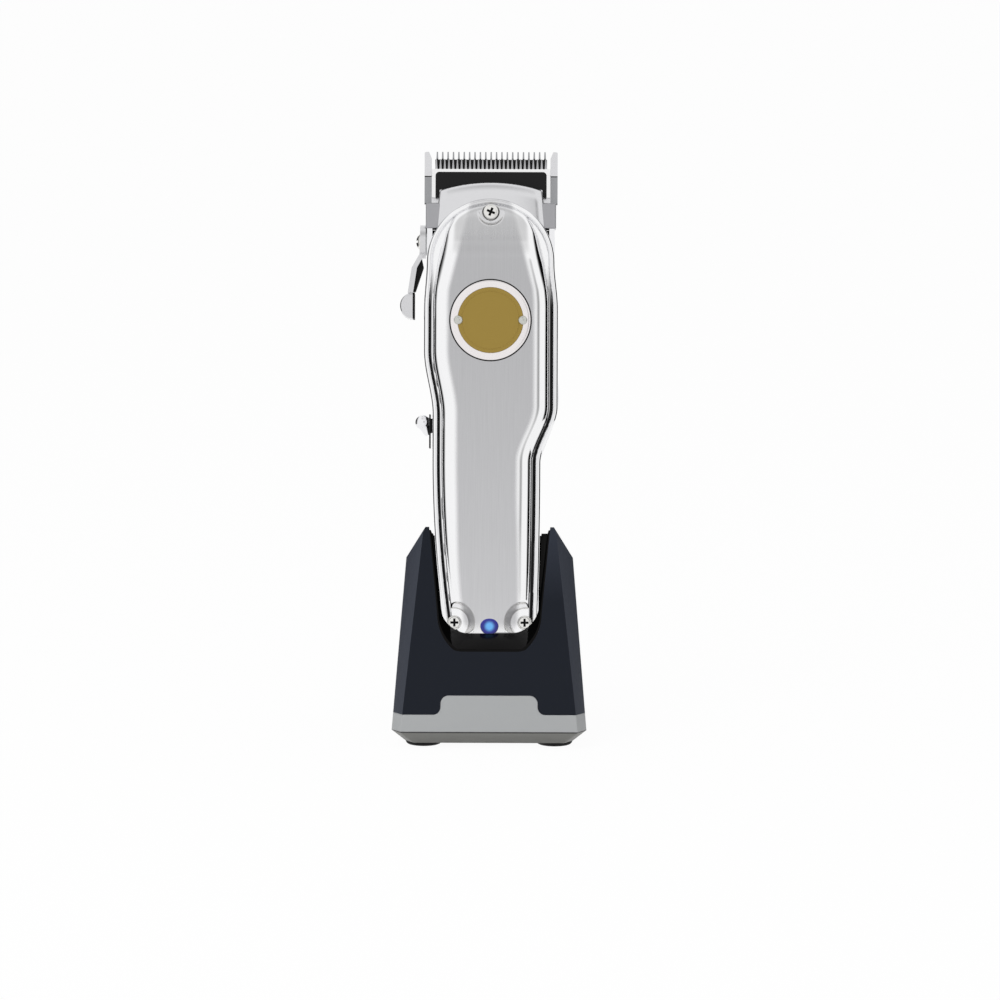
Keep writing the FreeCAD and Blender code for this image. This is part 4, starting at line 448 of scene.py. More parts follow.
# Painted shade: the groove's base colour goes near black.
painted_groove_shade = add_node(tree, "ShaderNodeAttribute", {"attribute_name": "groove"}).outputs["Fac"]
shade = add_node(tree, "ShaderNodeMix", {"data_type": "RGBA"}, {
    "Factor": painted_groove_shade, 6: tone.outputs[2], 7: linear("#1C1C1D")})
tree.links.new(shade.outputs[2], shader.inputs["Base Color"])
grain_gloss = add_node(tree, "ShaderNodeMapRange", inputs={
    "Value": brushing.outputs["Fac"], "To Min": 0.26, "To Max": 0.44})
gloss = add_node(tree, "ShaderNodeMix", {"data_type": "FLOAT"}, {
    "Factor": brushed, 2: 0.10, 3: grain_gloss.outputs["Result"]})
tree.links.new(gloss.outputs[0], shader.inputs["Roughness"])
lines = add_node(tree, "ShaderNodeMath", {"operation": "MULTIPLY"}, {
    0: brushing.outputs["Fac"], 1: brushed})
bump = add_node(tree, "ShaderNodeBump", inputs={
    "Height": lines.outputs[0], "Strength": 0.2, "Distance": 0.01 * MM})
tree.links.new(bump.outputs["Normal"], shader.inputs["Normal"])

lid = mesh_object("lid_shell", bm, lid_chrome, crease=80)
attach(lid, "clipper")
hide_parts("lid")


# ---- lid screws ----
# Three pan head machine screws with cross recesses, turned from steel and nickel plated. Their
# recesses are painted black as shade.
SCREW_TURN = math.radians(22)
SCREW_GROWTH = 1.06              # the nose screw is a size larger
HEAD_HEIGHT = 1.9
HEAD_TOP = -(POCKET_FLOOR + HEAD_HEIGHT)
RECESS_R = 1.9
RECESS_DEPTH = 1.8


def cad_copy(node, to_mm):
    """A CAD node's mesh, brought to millimetres and merged."""
    bm = bmesh.new()
    bm.from_mesh(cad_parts[node].data)
    bmesh.ops.transform(bm, matrix=to_mm, verts=bm.verts)
    bmesh.ops.remove_doubles(bm, verts=bm.verts, dist=0.002)
    bmesh.ops.dissolve_limit(bm, angle_limit=math.radians(0.3), verts=bm.verts, edges=bm.edges)
    return bm


def drawn_copy(node):
    """A CAD node's mesh in millimetres along the clipper."""
    return cad_copy(node, FROM_DRAWING.inverted())


def place_piece(name, bm, materials, body, nodes, edge=0.0):
    bmesh.ops.transform(bm, matrix=FROM_DRAWING, verts=bm.verts)
    piece = mesh_object(name, bm, *materials)
    if edge:
        bevel = piece.modifiers.new("broken_edge", "BEVEL")
        bevel.width = edge * MM
        bevel.segments = 3
        bevel.limit_method = "ANGLE"
        bevel.angle_limit = math.radians(35)
        bevel.harden_normals = True
    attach(piece, body)
    if nodes:
        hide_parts(*nodes)
    return piece


# Nickel plating gives a soft, slightly warm mirror; the painted shade is a dead black put in recesses
# and seams.
nickel = finish("nickel_plated_steel", "#E4E3E0", 1.0, 0.16, (0.8, 0.8, 0.8))
painted_black_shade = finish("painted_black_shade", "#141414", 0.0, 0.6, (0.4, 0.4, 0.4), relief=0.01, specular=0.2)
bm = drawn_copy("lid_screws")
nose_screw = Matrix.Translation((0, 0, NOSE_SCREW_Z))
driven = (nose_screw @ Matrix.Rotation(SCREW_TURN, 4, "Y")
          @ Matrix.Diagonal((SCREW_GROWTH, 1, SCREW_GROWTH, 1)) @ nose_screw.inverted())
bmesh.ops.transform(bm, matrix=driven, verts=[v for v in bm.verts if v.co.z > ARCH_Z])
# Faces inside the cross recesses take the black painted shade.
for face in bm.faces:
    centre = face.calc_center_median()
    nearest = min(math.hypot(centre.x - x, centre.z - z)
                  for x, z in ((-SCREW_X, SCREW_Z), (SCREW_X, SCREW_Z), (0.0, NOSE_SCREW_Z)))
    if nearest < RECESS_R and HEAD_TOP + 0.05 < centre.y < HEAD_TOP + RECESS_DEPTH:
        face.material_index = 1
place_piece("lid_screw_set", bm, (nickel, painted_black_shade), "clipper",
            ("lid_screws",), 0.12)


# ---- charge light ----
# A blue acrylic light pipe in the lid's tail over a surface mounted LED: dark round its edge, and
# bright where the light comes straight through.
LENS_EDGE = 2.2          # where the lamp's glow has died away, and where it starts to
LENS_CORE = 0.7
GLOW_RISE = 0.1          # how far the glow sits above the lens's middle
lens_blue = bpy.data.materials.new("blue_acrylic")
lens_blue.use_nodes = True
tree = lens_blue.node_tree
shader = tree.nodes["Principled BSDF"]
low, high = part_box("led_lens")
lens_centre = (Vector(low) + Vector(high)) / 2
lens_centre.z += GLOW_RISE * MM
lens_mm = pattern_place(tree, (1.0, 50.0, 1.0), lens_centre)
radius = add_node(tree, "ShaderNodeVectorMath", {"operation": "LENGTH"}, {0: lens_mm})
glow = add_node(tree, "ShaderNodeMapRange", {"interpolation_type": "SMOOTHSTEP"}, {
    "Value": radius.outputs["Value"], "From Min": LENS_CORE, "From Max": LENS_EDGE,
    "To Min": 1.0, "To Max": 0.0})
blue = add_node(tree, "ShaderNodeMix", {"data_type": "RGBA"}, {
    "Factor": glow.outputs["Result"], 6: linear("#1E2390"), 7: linear("#64ABEA")})
tree.links.new(blue.outputs[2], shader.inputs["Base Color"])
tree.links.new(blue.outputs[2], shader.inputs["Emission Color"])
shine = add_node(tree, "ShaderNodeMapRange", inputs={
    "Value": glow.outputs["Result"], "To Min": 0.10, "To Max": 0.30})
tree.links.new(shine.outputs["Result"], shader.inputs["Emission Strength"])
shader.inputs["Roughness"].default_value = 0.12
shader.inputs["IOR"].default_value = 1.49
place_piece("charge_lens", drawn_copy("led_lens"), (lens_blue,), "clipper", ("led_lens",))
# The LED's own cap is clear epoxy over a white well, so it reads cream.
led_epoxy = finish("led_epoxy", "#EDEBDD", 0.0, 0.3, (0.5, 0.5, 0.5))


def coat(material, *nodes):
    """CAD nodes that keep their own mesh take a material."""
    for node in nodes:
        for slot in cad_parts[node].material_slots:
            slot.material = material


coat(led_epoxy, "status_led")


# ---- badge ----
# A round badge let into the lid: a polished steel bezel in a black ring of painted shadow for its seam,
# a gilt plate inside it, and two dome rivets through both. The plate is bare, with a fine engraved
# ring.
BADGE_Z = 107.6
BEZEL_R = 13.5
PLATE_R = 11.05
BADGE_FACE = PANEL_TOP + 0.4
PLATE_FACE = BADGE_FACE - 0.12
ENGRAVED = BADGE_FACE - 0.2
BADGE_FOOT = PANEL_TOP - 0.8
SEAM_IN = BEZEL_R - 0.05
SEAM_OUT = BEZEL_R + 0.38
SEAM_FACE = PANEL_TOP + 0.03
SEAM_FOOT = PANEL_TOP - 0.4
LIP_WIDTH = 0.9
LIP_HEIGHT = 0.45
LIP_ANGLES = (0, 15, 30, 50, 70, 90)
BEZEL_IN = PLATE_R + 0.02
BEZEL_CHAMFER = PLATE_R + 0.15
RING_IN, RING_FLOOR_IN, RING_FLOOR_OUT, RING_OUT = 9.5, 9.6, 9.8, 9.9    # the engraved ring's radii
PLATE_EDGE = PLATE_R - 0.1


def turned(profile, segments=96):
    """A ring or disc round the badge's centre, spun from (radius, height over the parting plane)."""
    bm = bmesh.new()
    points = [bm.verts.new((r, -h, BADGE_Z)) for r, h in profile]
    edges = [bm.edges.new(pair) for pair in zip(points, points[1:])]
    bmesh.ops.spin(bm, geom=points + edges, cent=(0, 0, BADGE_Z), axis=(0, 1, 0), dvec=(0, 0, 0),
                   angle=math.tau, steps=segments, use_merge=True)
    bmesh.ops.remove_doubles(bm, verts=bm.verts, dist=1e-4)
    bmesh.ops.recalc_face_normals(bm, faces=bm.faces)
    return bm


# A flat black ring round the bezel stands in for the shadow in its seam: painted shadow.
seam = turned([(SEAM_IN, SEAM_FOOT), (SEAM_IN, SEAM_FACE), (SEAM_OUT, SEAM_FACE),
               (SEAM_OUT, SEAM_FOOT), (SEAM_IN, SEAM_FOOT)])
place_piece("badge_seam", seam, (painted_black_shade,), "clipper", ())

# Buffed stainless steel: nearly a mirror, and a little warmer than the chrome round it.
bezel_steel = finish("polished_stainless", "#ECE8E8", 1.0, 0.20, (0.3, 0.3, 9.0))
lip = [(BEZEL_R - LIP_WIDTH * (1 - math.cos(a)), BADGE_FACE - LIP_HEIGHT * (1 - math.sin(a)))
       for a in map(math.radians, LIP_ANGLES)]
bezel = turned([(BEZEL_R, BADGE_FOOT)] + lip + [
    (BEZEL_CHAMFER, BADGE_FACE), (BEZEL_IN, PLATE_FACE), (BEZEL_IN, BADGE_FOOT),
    (BEZEL_R, BADGE_FOOT)])
place_piece("badge_ring", bezel, (bezel_steel,), "clipper", ("badge_bezel",))

# Gilt on brass with a spun grain: gold metal whose gloss is drawn out in rings round the centre.
gilt = bpy.data.materials.new("gilt_brass")
gilt.use_nodes = True
tree = gilt.node_tree
shader = tree.nodes["Principled BSDF"]
shader.inputs["Metallic"].default_value = 1.0
badge_centre = FROM_DRAWING @ Vector((0, -BADGE_FACE, BADGE_Z))
plate_mm = pattern_place(tree, (1.0, 50.0, 1.0), badge_centre)
radius = add_node(tree, "ShaderNodeVectorMath", {"operation": "LENGTH"}, {0: plate_mm})
rings = add_node(tree, "ShaderNodeTexNoise", {"noise_dimensions": "1D"}, {
    "W": radius.outputs["Value"], "Scale": 4.0, "Detail": 2.0})
gold = add_node(tree, "ShaderNodeMix", {"data_type": "RGBA"}, {
    "Factor": rings.outputs["Fac"], 6: linear("#9B8340"), 7: linear("#AD9350")})
tree.links.new(gold.outputs[2], shader.inputs["Base Color"])
gloss = add_node(tree, "ShaderNodeMapRange", inputs={
    "Value": rings.outputs["Fac"], "To Min": 0.32, "To Max": 0.5})
tree.links.new(gloss.outputs["Result"], shader.inputs["Roughness"])
plate = turned([(0.0, PLATE_FACE), (RING_IN, PLATE_FACE), (RING_FLOOR_IN, ENGRAVED),
                (RING_FLOOR_OUT, ENGRAVED), (RING_OUT, PLATE_FACE), (PLATE_EDGE, PLATE_FACE),
                (PLATE_R, ENGRAVED), (PLATE_R, BADGE_FOOT), (0.0, BADGE_FOOT)])
place_piece("badge_disc", plate, (gilt,), "clipper", ("badge_plate",))
# Bright drawn steel, a shade greyer and duller than the bezel.
rivet_steel = finish("bright_steel_rivet", "#C9CAC4", 1.0, 0.26, (0.6, 0.6, 0.6))
place_piece("badge_rivet_pair", drawn_copy("badge_rivets"), (rivet_steel,), "clipper",
            ("badge_rivets",))


# ---- housing ----
# The back shell: the same casting as the lid, polished all over, with the blade seat and the hood
# over the blades cast on. The hood's front is crowned, and its edges are rolled.
NOSE_Z = 139.5
SHELF_Z = 148.3
HOOD_HALF = NOSE_HALF - 3.0
HOOD_TOP_HALF = HOOD_HALF - 1.2
HOOD_TOP_Z = 155.3
HOOD_ARC = 2.5           # how far the hood's top edge falls from its middle to its corners
HOOD_BACK = 3.2
HOOD_EDGE = 0.05         # the least thickness that its rolls leave
HOOD_CROWN = 0.9         # how far the hood's front falls back at its sides
CROWN_POWER = 2.4        # how late across the hood it does so
ROW_CROWDING = 1.6       # over 1, the mesh's rows stand closer towards the hood's top
TOP_ROLL = (4.6, 2.2)    # width and depth of the roll along the hood's top, and down its sides
SIDE_ROLL = (3.0, 1.4)
SEAT_FRONT = 1.4
BLADE_FACE = 6.95
SEAT_OVERHANG = 0.45


def cut(bm, point, normal, clear=False):
    """A cut through the whole mesh along a plane, which can clear what lies past it."""
    bmesh.ops.bisect_plane(bm, geom=bm.verts[:] + bm.edges[:] + bm.faces[:], plane_co=point,
                           plane_no=normal, clear_outer=clear)


# Chrome over polished zinc is a cool mirror; the hood was only buffed, so it is softer and greyer.
chrome = finish("chrome_plated_zinc", "#ECECEE", 1.0, 0.11, (3.0, 3.0, 3.0), 0.02)
hood_chrome = finish("buffed_zinc_hood", "#DADADC", 1.0, 0.2, (3.0, 3.0, 3.0), 0.02)
bm = drawn_copy("lower_housing")
cut(bm, (0, 0, NOSE_Z - 0.02), (0, 0, 1), clear=True)
bmesh.ops.holes_fill(bm, edges=[e for e in bm.edges if e.is_boundary], sides=0)
place_piece("housing_shell", bm, (chrome,), "clipper", ("lower_housing",))


def rolled(distance, width, depth):
    """How far an edge rolled over a width lies back at a distance from it."""
    t = min(max(distance / width, 0.0), 1.0)
    return depth * (1 - math.sqrt(1 - (1 - t) ** 2))


bm = bmesh.new()
bmesh.ops.create_grid(bm, x_segments=84, y_segments=60, size=1.0)
for v in bm.verts:
    up = (v.co.y + 1) / 2
    up = 1 - (1 - up) ** ROW_CROWDING
    across = math.copysign(math.sin(abs(v.co.x) * math.pi / 2), v.co.x)
    top = HOOD_TOP_Z - HOOD_ARC * across ** 2
    z = NOSE_Z + up * (top - NOSE_Z)
    half = HOOD_HALF - (HOOD_HALF - HOOD_TOP_HALF) * (z - NOSE_Z) / (top - NOSE_Z)
    x = across * half
    back = HOOD_CROWN * abs(across) ** CROWN_POWER + rolled(top - z, *TOP_ROLL)
    back += rolled(half - abs(x), *SIDE_ROLL)
    v.co = (x, min(back, HOOD_BACK - HOOD_EDGE), z)
close_back(bm, HOOD_BACK)
place_piece("nose_hood", bm, (hood_chrome,), "clipper", ())


def block(size, centre):
    """A block of a size round its centre."""
    bm = bmesh.new()
    bmesh.ops.create_cube(bm, size=1.0, matrix=Matrix.Translation(centre) @ Matrix.Diagonal((*size, 1)))
    return bm


# The blade seat is milled flat and keeps the cutter's fine upright lines, so it is an even grey.
seat_satin = finish("satin_chrome", "#A9A9AC", 1.0, 0.34, (0.25, 0.25, 6.0), 0.05, 0.004)
bm = block((2 * (NOSE_HALF + SEAT_OVERHANG), BLADE_FACE - SEAT_FRONT, SHELF_Z - NOSE_Z),
           (0, (SEAT_FRONT + BLADE_FACE) / 2, (SHELF_Z + NOSE_Z) / 2))
place_piece("blade_seat", bm, (seat_satin,), "clipper", (), 0.5)


# ---- fixed blade ----
# A hardened steel comb, ground flat and ground to a thin edge behind its teeth. Its two ears are
# bright at the tips and painted grey below as shade, with black painted shade at their seams, and the
# roots between the teeth are painted dark as shade.
TIP_Z = 166.2
GRIND_Z = TIP_Z - 2.3            # the bright ground tips start here
ROOT_Z = TIP_Z - 8.3
WEB_TOP_Z = TIP_Z - 2.5
WEB_Y = BLADE_FACE + 0.95
WEB_THICK = 0.2
SEAT_SEAM_Z = SHELF_Z + 0.3
EAR_X = 20.2
WEB_HALF = EAR_X - 1.2
EAR_SEAM_Z = 158.0
EAR_SEAM = 0.36
# Ground steel keeps fine lines across the blade; an even grey serves the teeth's tips and, as painted
# shade, the ears below their bright tips; and the roots of the teeth are painted dark as shade.
ground_steel = finish("ground_tool_steel", "#DADADC", 1.0, 0.24, (5.0, 0.2, 0.2), 0.06, 0.002)
grey_tips_and_ear_shade = finish("grey_tip_steel_and_painted_ear_shade", "#A2A3A5", 1.0, 0.36, (0.3, 0.3, 0.3), 0.05, 0.003)
painted_root_shade = finish("painted_tooth_root_shade", "#242424", 0.3, 0.6, (0.4, 0.4, 0.4))
bm = drawn_copy("fixed_blade")
for height in (EAR_SEAM_Z, EAR_SEAM_Z - EAR_SEAM, SEAT_SEAM_Z, GRIND_Z, ROOT_Z):
    cut(bm, (0, 0, height), (0, 0, 1))
for side in (-EAR_X, EAR_X):
    cut(bm, (side, 0, 0), (1, 0, 0))
# The ears' faces take painted shade: black below the seat's seam and in a band at their step, grey
# between.
for face in bm.faces:
    centre = face.calc_center_median()
    if abs(centre.x) > EAR_X and centre.y < BLADE_FACE + 0.01:
        if centre.z < SEAT_SEAM_Z:
            face.material_index = 2
        elif centre.z < EAR_SEAM_Z - EAR_SEAM:
            face.material_index = 1
        elif centre.z < EAR_SEAM_Z:
            face.material_index = 2
    elif ROOT_Z < centre.z and abs(centre.x) < EAR_X and face.normal.y < 0.5:
        face.material_index = 3 if centre.z < GRIND_Z else 1
place_piece("fixed_comb", bm, (ground_steel, grey_tips_and_ear_shade, painted_black_shade, painted_root_shade), "clipper",
            ("fixed_blade",))
# The slots between the teeth are closed at the back by a thin dark web below the ground tips: a sheet
# of painted shade.
# Below the ground tips, the teeth's faces and this web are painted dark as shade.
web = block((2 * WEB_HALF, WEB_THICK, WEB_TOP_Z - ROOT_Z), (0, WEB_Y, (ROOT_Z + WEB_TOP_Z) / 2))
place_piece("tooth_roots", web, (painted_root_shade,), "clipper", (), 0.05)

# Zinc plating is a dull, slightly blue grey.
zinc_steel = finish("zinc_plated_steel", "#B9BBBC", 1.0, 0.34, (0.8, 0.8, 0.8), relief=0.004)
place_piece("blade_screw_pair", drawn_copy("blade_screws"), (zinc_steel,), "clipper",
            ("blade_screws",), 0.1)


# ---- cutter and its drive arm ----
# The cutter slides on the fixed blade: a bright ground comb on two thin legs. A black acetal arm
# fills the frame between the legs and carries the motion down to the cam.
WINDOW_HALF = 18.8
WINDOW_TOP = 159.1
WINDOW_CORNER = 1.2
CUTTER_ROOT_Z = 160.2


def round_edges(bm, edges, radius, steps):
    """Sharp edges of a moulding or stamping take their radius."""
    bmesh.ops.bevel(bm, geom=edges, offset=radius, segments=steps, affect="EDGES", profile=0.5,
                    material=-1, clamp_overlap=False)


def round_window(bm):
    """The upper corners of the cutter's window, or of the arm that fills it, take their radius."""
    corners = [e for e in bm.edges if abs(e.verts[0].co.y - e.verts[1].co.y) > 0.3
               and all(abs(abs(v.co.x) - WINDOW_HALF) < 0.05 and abs(v.co.z - WINDOW_TOP) < 0.05
                       for v in e.verts)]
    round_edges(bm, corners, WINDOW_CORNER, 6)


# The cutter's frame is bright ground steel, and its teeth are ground greyer along their length.
cutter_steel = finish("bright_tool_steel", "#F0F0F0", 1.0, 0.20, (4.0, 0.2, 0.2), 0.04)
ground_teeth = finish("ground_cutter_teeth", "#B2B2B4", 1.0, 0.28, (0.2, 0.2, 3.0), 0.04)
bm = drawn_copy("cutter")
round_window(bm)
cut(bm, (0, 0, CUTTER_ROOT_Z), (0, 0, 1))
for face in bm.faces:
    if face.calc_center_median().z > CUTTER_ROOT_Z:
        face.material_index = 1
place_piece("cutter_comb", bm, (cutter_steel, ground_teeth), "cutter", ("cutter",), 0.06)
# Black acetal, moulded in a fine matt tool: it hardly shines.
acetal = finish("black_acetal", "#070707", 0.0, 0.5, (0.5, 0.5, 0.5), relief=0.004, specular=0.25)
bm = drawn_copy("drive_arm")
round_window(bm)
place_piece("cutter_drive_arm", bm, (acetal,), "cutter", ("drive_arm",), 0.15)
# Hard drawn wire, a darker steel grey.
spring_steel = finish("spring_steel", "#8F9092", 1.0, 0.3, (0.3, 0.3, 5.0))
coat(spring_steel, "tension_spring")


# ---- taper lever ----
# A bent steel lever on the lever side of the nose, polished, with a round hub under a slotted screw
# and a half round thumb pad. A black rib stiffens its inner side; its black is painted shade and dark
# reflection.
# Polished steel, bright but with a faint haze from its last wheel; the rib and the pad's backing are a
# matt black.
lever_steel = finish("polished_lever_steel", "#D2D2D4", 1.0, 0.17, (2.0, 2.0, 2.0), 0.03)
black_pad_back_and_rib_shade = finish("black_pad_back_and_painted_rib_shade", "#0A0A0A", 0.0, 0.5, (0.5, 0.5, 0.5), relief=0.004, specular=0.2)
place_piece("lever_arm", drawn_copy("taper_lever"), (lever_steel,), "taper_lever",
            ("taper_lever",), 0.35)
place_piece("lever_pad", drawn_copy("lever_thumb_pad"), (lever_steel,), "taper_lever",
            ("lever_thumb_pad",), 0.25)
place_piece("lever_pad_back", drawn_copy("lever_pad_backing"), (black_pad_back_and_rib_shade,), "taper_lever",
            ("lever_pad_backing",), 0.1)
# The rib's black is painted shade and dark reflection.
place_piece("lever_wedge", drawn_copy("lever_rib"), (black_pad_back_and_rib_shade,), "taper_lever",
            ("lever_rib",), 0.15)
place_piece("lever_pivot_screw", drawn_copy("lever_screw"), (nickel,), "taper_lever",
            ("lever_screw",), 0.1)
coat(zinc_steel, "lever_washer", "taper_eccentric", "taper_slide")


# ---- power switch ----
# A polished ball on a black acetal slider that runs in a slot in the housing's side, over a switch
# body of the same black plastic.
# Chrome on a ground steel ball: the sharpest mirror on the clipper.
ball_chrome = finish("chrome_ball", "#EFEFF1", 1.0, 0.08, (2.0, 2.0, 2.0), 0.02)
place_piece("switch_ball", drawn_copy("switch_knob"), (ball_chrome,), "power_switch",
            ("switch_knob",))
place_piece("switch_strip", drawn_copy("switch_slider"), (acetal,), "power_switch",
            ("switch_slider",), 0.12)
coat(acetal, "switch_base")


# ---- motor and rotor ----
# A round can motor: a drawn zinc plated can with ferrite magnets and bronze bushes, a black end cap,
# and a wound armature on a steel shaft that turns the eccentric cam.
# Enamelled wire is a warm satin copper whose turns show as lines, ferrite and filled nylon are matt
# near blacks, and oil soaked bronze is a dull yellow brown.
copper = finish("enamelled_copper_wire", "#B4602E", 1.0, 0.3, (0.35, 0.35, 8.0), relief=0.02)
ferrite = finish("sintered_ferrite", "#2B2B2D", 0.0, 0.7, (0.6, 0.6, 0.6), relief=0.01)
bronze = finish("sintered_bronze", "#B08A55", 1.0, 0.45, (0.3, 0.3, 0.3), relief=0.006)
glass_nylon = finish("glass_filled_nylon", "#161616", 0.0, 0.55, (1.5, 0.3, 0.3), relief=0.006)
coat(zinc_steel, "motor_can", "motor_shaft", "eccentric_cam")
coat(glass_nylon, "motor_end_cap", "motor_front_bracket", "motor_rear_bracket")
coat(bronze, "motor_bushes", "motor_commutator")
coat(ferrite, "motor_magnets")
coat(copper, "motor_armature")


# ---- battery, board and charge socket ----
# A round lithium cell in a shrink sleeve on a black cradle, a glass epoxy control board, and the
# charge socket that opens through the tail.
# Shrink sleeve is a glossy film, and a board is a satin green where its mask covers the weave.
sleeve = finish("pvc_shrink_sleeve", "#2F5C8C", 0.0, 0.35, (6.0, 6.0, 12.0), 0.04)
epoxy = finish("glass_epoxy_board", "#1E5A34", 0.0, 0.4, (0.5, 0.5, 0.5), relief=0.006, tone="#D8E8DA")
coat(sleeve, "battery")
coat(glass_nylon, "battery_cradle")
coat(epoxy, "control_board")
place_piece("tail_socket", drawn_copy("charge_socket"), (acetal,), "clipper",
            ("charge_socket",), 0.1)


# ---- stand ----
# The charging stand: a navy ABS shell moulded with a fine spark eroded texture, coarser on its sides
# and painted paler there as light, and a gloss black cradle pressed into its notch. Both are injection
# moulded.
HORN_OUT = 21.4
HORN_FRONT = -29.13
HORN_Z = 73.6
SHOULDER_OUT = 27.6
SHOULDER_Z = 63.8
SHOULDER_FALL = math.radians(9.5)
WALL_AT_SHOULDER = 0.9
TAB_HALF = 16.2
BAND_TOP_Z = 12.0
TAB_FOOT = 2.5
NOTCH_CORNER_X = 11.3
NOTCH_CORNER_Z = 32.5
NOTCH_CORNER = 2.6
SIDE_LEAN = 0.25         # a face whose normal reaches further sideways takes the side's coarser texture and painted light
WALL_LEAN = 0.6          # the same for the matt walls of the cradle
PAINTED_LIGHT_ACROSS = (0.04, 0.20)      # where painted light makes the front paler, in units of 100 mm from the clipper's foot
PAINTED_LIGHT_UP = (0.13, 0.34)
PAINTED_LIGHT_SHARE = 0.85


def stand_copy(node):
    """A CAD node's mesh in millimetres where the stand stands."""
    return cad_copy(node, Matrix.Scale(1 / MM, 4))


def stand_piece(name, bm, materials, node, edge=0.0):
    """The mesh becomes a piece of the stand, with its edges broken by a radius in mm."""
    to_drawing = FROM_DRAWING.inverted() @ Matrix.Scale(MM, 4)
    bmesh.ops.transform(bm, matrix=to_drawing, verts=bm.verts)
    return place_piece(name, bm, materials, "stand", (node,), edge)


def round_tab_foot(bm):
    """The corners between the tab's sides and the band's top take their moulded radius."""
    corners = [e for e in bm.edges if abs(e.verts[0].co.y - e.verts[1].co.y) > 1
               and all(abs(abs(v.co.x) - TAB_HALF) < 0.3 and abs(v.co.z - BAND_TOP_Z) < 0.3
                       and v.co.y < 0 for v in e.verts)]
    round_edges(bm, corners, TAB_FOOT, 8)


def round_notch(bm):
    """The corners at the bottom of the notch, or of the lip that fills it, take their radius."""
    corners = [e for e in bm.edges if abs(e.verts[0].co.y - e.verts[1].co.y) > 1
               and all(abs(abs(v.co.x) - NOTCH_CORNER_X) < 0.1
                       and abs(v.co.z - NOTCH_CORNER_Z) < 0.5 for v in e.verts)]
    round_edges(bm, corners, NOTCH_CORNER, 8)


# Navy ABS from a spark eroded tool: a soft, dark blue black, with painted light that makes it paler
# towards the right horn. On the sides the texture is coarser, and a paler colour there is painted
# light.
navy = finish("navy_abs", "#0C121D", 0.0, 0.5, (0.45, 0.45, 0.45), 0.05, 0.006, specular=0.2)
tree = navy.node_tree
shader = tree.nodes["Principled BSDF"]
place = add_node(tree, "ShaderNodeSeparateXYZ", inputs={"Vector": pattern_place(tree, (100, 100, 100))})
outwards = add_node(tree, "ShaderNodeMapRange", inputs={
    "Value": place.outputs["X"], "From Min": PAINTED_LIGHT_ACROSS[0], "From Max": PAINTED_LIGHT_ACROSS[1],
    "To Max": PAINTED_LIGHT_SHARE})
upwards = add_node(tree, "ShaderNodeMapRange", inputs={
    "Value": place.outputs["Z"], "From Min": PAINTED_LIGHT_UP[0], "From Max": PAINTED_LIGHT_UP[1]})
# Painted light: the front's colour pales towards the right horn and upwards.
painted_light = add_node(tree, "ShaderNodeMath", {"operation": "MULTIPLY"}, {
    0: outwards.outputs["Result"], 1: upwards.outputs["Result"]})
under = shader.inputs["Base Color"].links[0].from_socket
painted_light_tone = add_node(tree, "ShaderNodeMix", {"data_type": "RGBA"}, {
    "Factor": painted_light.outputs[0], 6: under, 7: linear("#2B303B")})
tree.links.new(painted_light_tone.outputs[2], shader.inputs["Base Color"])
navy_side_painted_light = finish("navy_abs_side_painted_light", "#393D47", 0.0, 0.55, (0.6, 0.6, 0.6), 0.05, 0.01,
                   specular=0.2)
bm = stand_copy("stand_body")
round_tab_foot(bm)
round_notch(bm)
for side in (-1, 1):
    down = Vector((side * (SHOULDER_OUT - HORN_OUT), 0, SHOULDER_Z - HORN_Z))
    back = Vector((0, math.cos(SHOULDER_FALL), -math.sin(SHOULDER_FALL)))
    outward = down.cross(back) * side
    cut(bm, (side * HORN_OUT, HORN_FRONT, HORN_Z), outward, clear=True)
    caps = bmesh.ops.holes_fill(bm, edges=[e for e in bm.edges if e.is_boundary], sides=0)["faces"]
    outside = max(caps, key=lambda face: face.calc_area())
    for cap in caps:
        if cap != outside:                       # the cavity ends a wall's thickness inside
            bmesh.ops.translate(bm, verts=cap.verts, vec=outward.normalized() * -WALL_AT_SHOULDER)
bmesh.ops.recalc_face_normals(bm, faces=bm.faces)
# Faces turned to the sides take a paler copy of the navy: painted light.
for face in bm.faces:
    if abs(face.normal.x) > SIDE_LEAN and abs(face.calc_center_median().x) > HORN_OUT:
        face.material_index = 1
shell = stand_piece("stand_shell", bm, (navy, navy_side_painted_light), "stand_body", 0.35)
shell.visible_glossy = False     # the black pieces are kept out of the chrome

# Black ABS from a polished tool: deep and glossy where the cradle shows, and left matt on the walls
# along the clipper.
piano_black = finish("gloss_black_abs", "#050404", 0.0, 0.14, (6.0, 6.0, 6.0), 0.02, specular=0.09)
matt_black = finish("matt_black_abs", "#080808", 0.0, 0.7, (0.5, 0.5, 0.5), relief=0.006,
                    specular=0.0)
bm = stand_copy("cradle_insert")
round_notch(bm)
for face in bm.faces:
    if abs(face.normal.x) > WALL_LEAN:
        face.material_index = 1
cradle = stand_piece("cradle", bm, (piano_black, matt_black), "cradle_insert", 0.3)
cradle.visible_glossy = False


# ---- base band, base pan and feet ----
# A light grey ABS band with a raised tab in front, a pan below it painted darker as shade, with
# bevelled sides, and four domed rubber feet pressed into the pan.
PAN_TOP_Z = 6.3
JOINT_GROOVE = 0.42      # the painted shadow line that parts the pan from the band
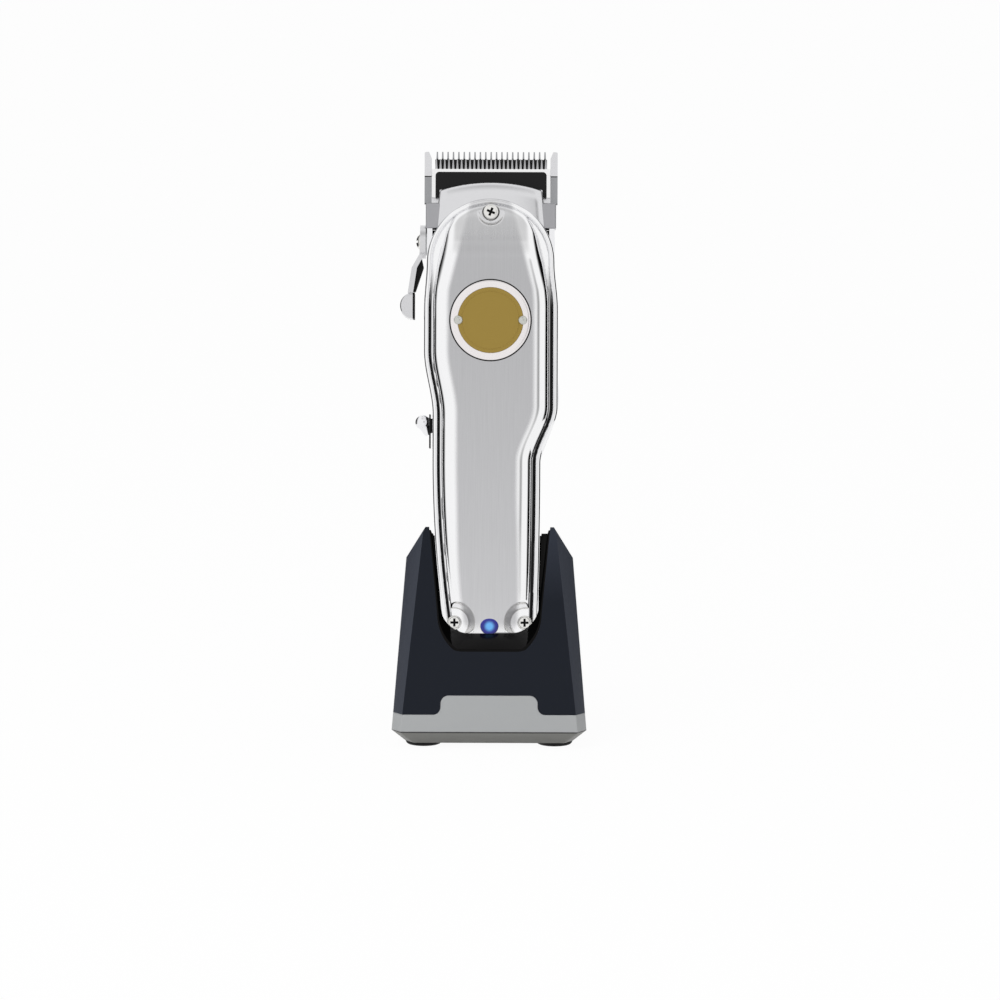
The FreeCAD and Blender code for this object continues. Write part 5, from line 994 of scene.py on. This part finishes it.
# Light grey ABS for the band, and a darker grey painted as shade for the pan, both moulded in a fine
# texture, so satin; the rubber is a matt black.
band_grey = finish("light_grey_abs", "#A9ABAC", 0.0, 0.42, (0.5, 0.5, 0.5), 0.05, 0.004)
bm = stand_copy("base_trim")
round_tab_foot(bm)
band = stand_piece("base_band", bm, (band_grey,), "base_trim", 0.25)
pan_painted_shade_grey = finish("grey_abs_painted_dark_as_shade", "#7E7E7A", 0.0, 0.45, (0.5, 0.5, 0.5), 0.05, 0.004, specular=0.3)
joint_shadow = finish("joint_painted_shadow", "#262626", 0.0, 0.6, (0.5, 0.5, 0.5), relief=0.004)
bm = stand_copy("base_pan")
cut(bm, (0, 0, PAN_TOP_Z - JOINT_GROOVE), (0, 0, 1))
# Faces above the joint's line take a painted shadow.
for face in bm.faces:
    if face.calc_center_median().z > PAN_TOP_Z - JOINT_GROOVE:
        face.material_index = 1
pan = stand_piece("base_pan_shell", bm, (pan_painted_shade_grey, joint_shadow), "base_pan")
rubber = finish("black_rubber", "#060606", 0.0, 0.6, (0.4, 0.4, 0.4), 0.08, 0.01, specular=0.2)
stand_piece("foot_set", stand_copy("rubber_feet"), (rubber,), "rubber_feet")
stand_piece("base_screw_set", stand_copy("base_screws"), (zinc_steel,),
            "base_screws", 0.1)


# ---- stand fittings ----
# The power inlet at the back, the charging plug in the cradle's floor, and a steel weight and a
# circuit board inside. Like the shell round them, the plug, the weight and the board are kept out of
# the chrome, and so are the band and the pan.
stand_piece("inlet", stand_copy("power_inlet"), (acetal,), "power_inlet", 0.15)
plug = stand_piece("charging_plug", stand_copy("dock_plug"), (nickel,), "dock_plug", 0.1)
# Bare mild steel with its mill scale: a dull mid grey.
weight_steel = finish("mild_steel_weight", "#6B6C6E", 1.0, 0.5, (1.0, 1.0, 1.0), relief=0.01)
weight = stand_piece("ballast", stand_copy("ballast_weight"), (weight_steel,),
                     "ballast_weight", 0.3)
board = stand_piece("stand_board", stand_copy("stand_circuit_board"), (epoxy,),
                    "stand_circuit_board", 0.1)
for fitting in (band, pan, plug, weight, board):
    fitting.visible_glossy = False
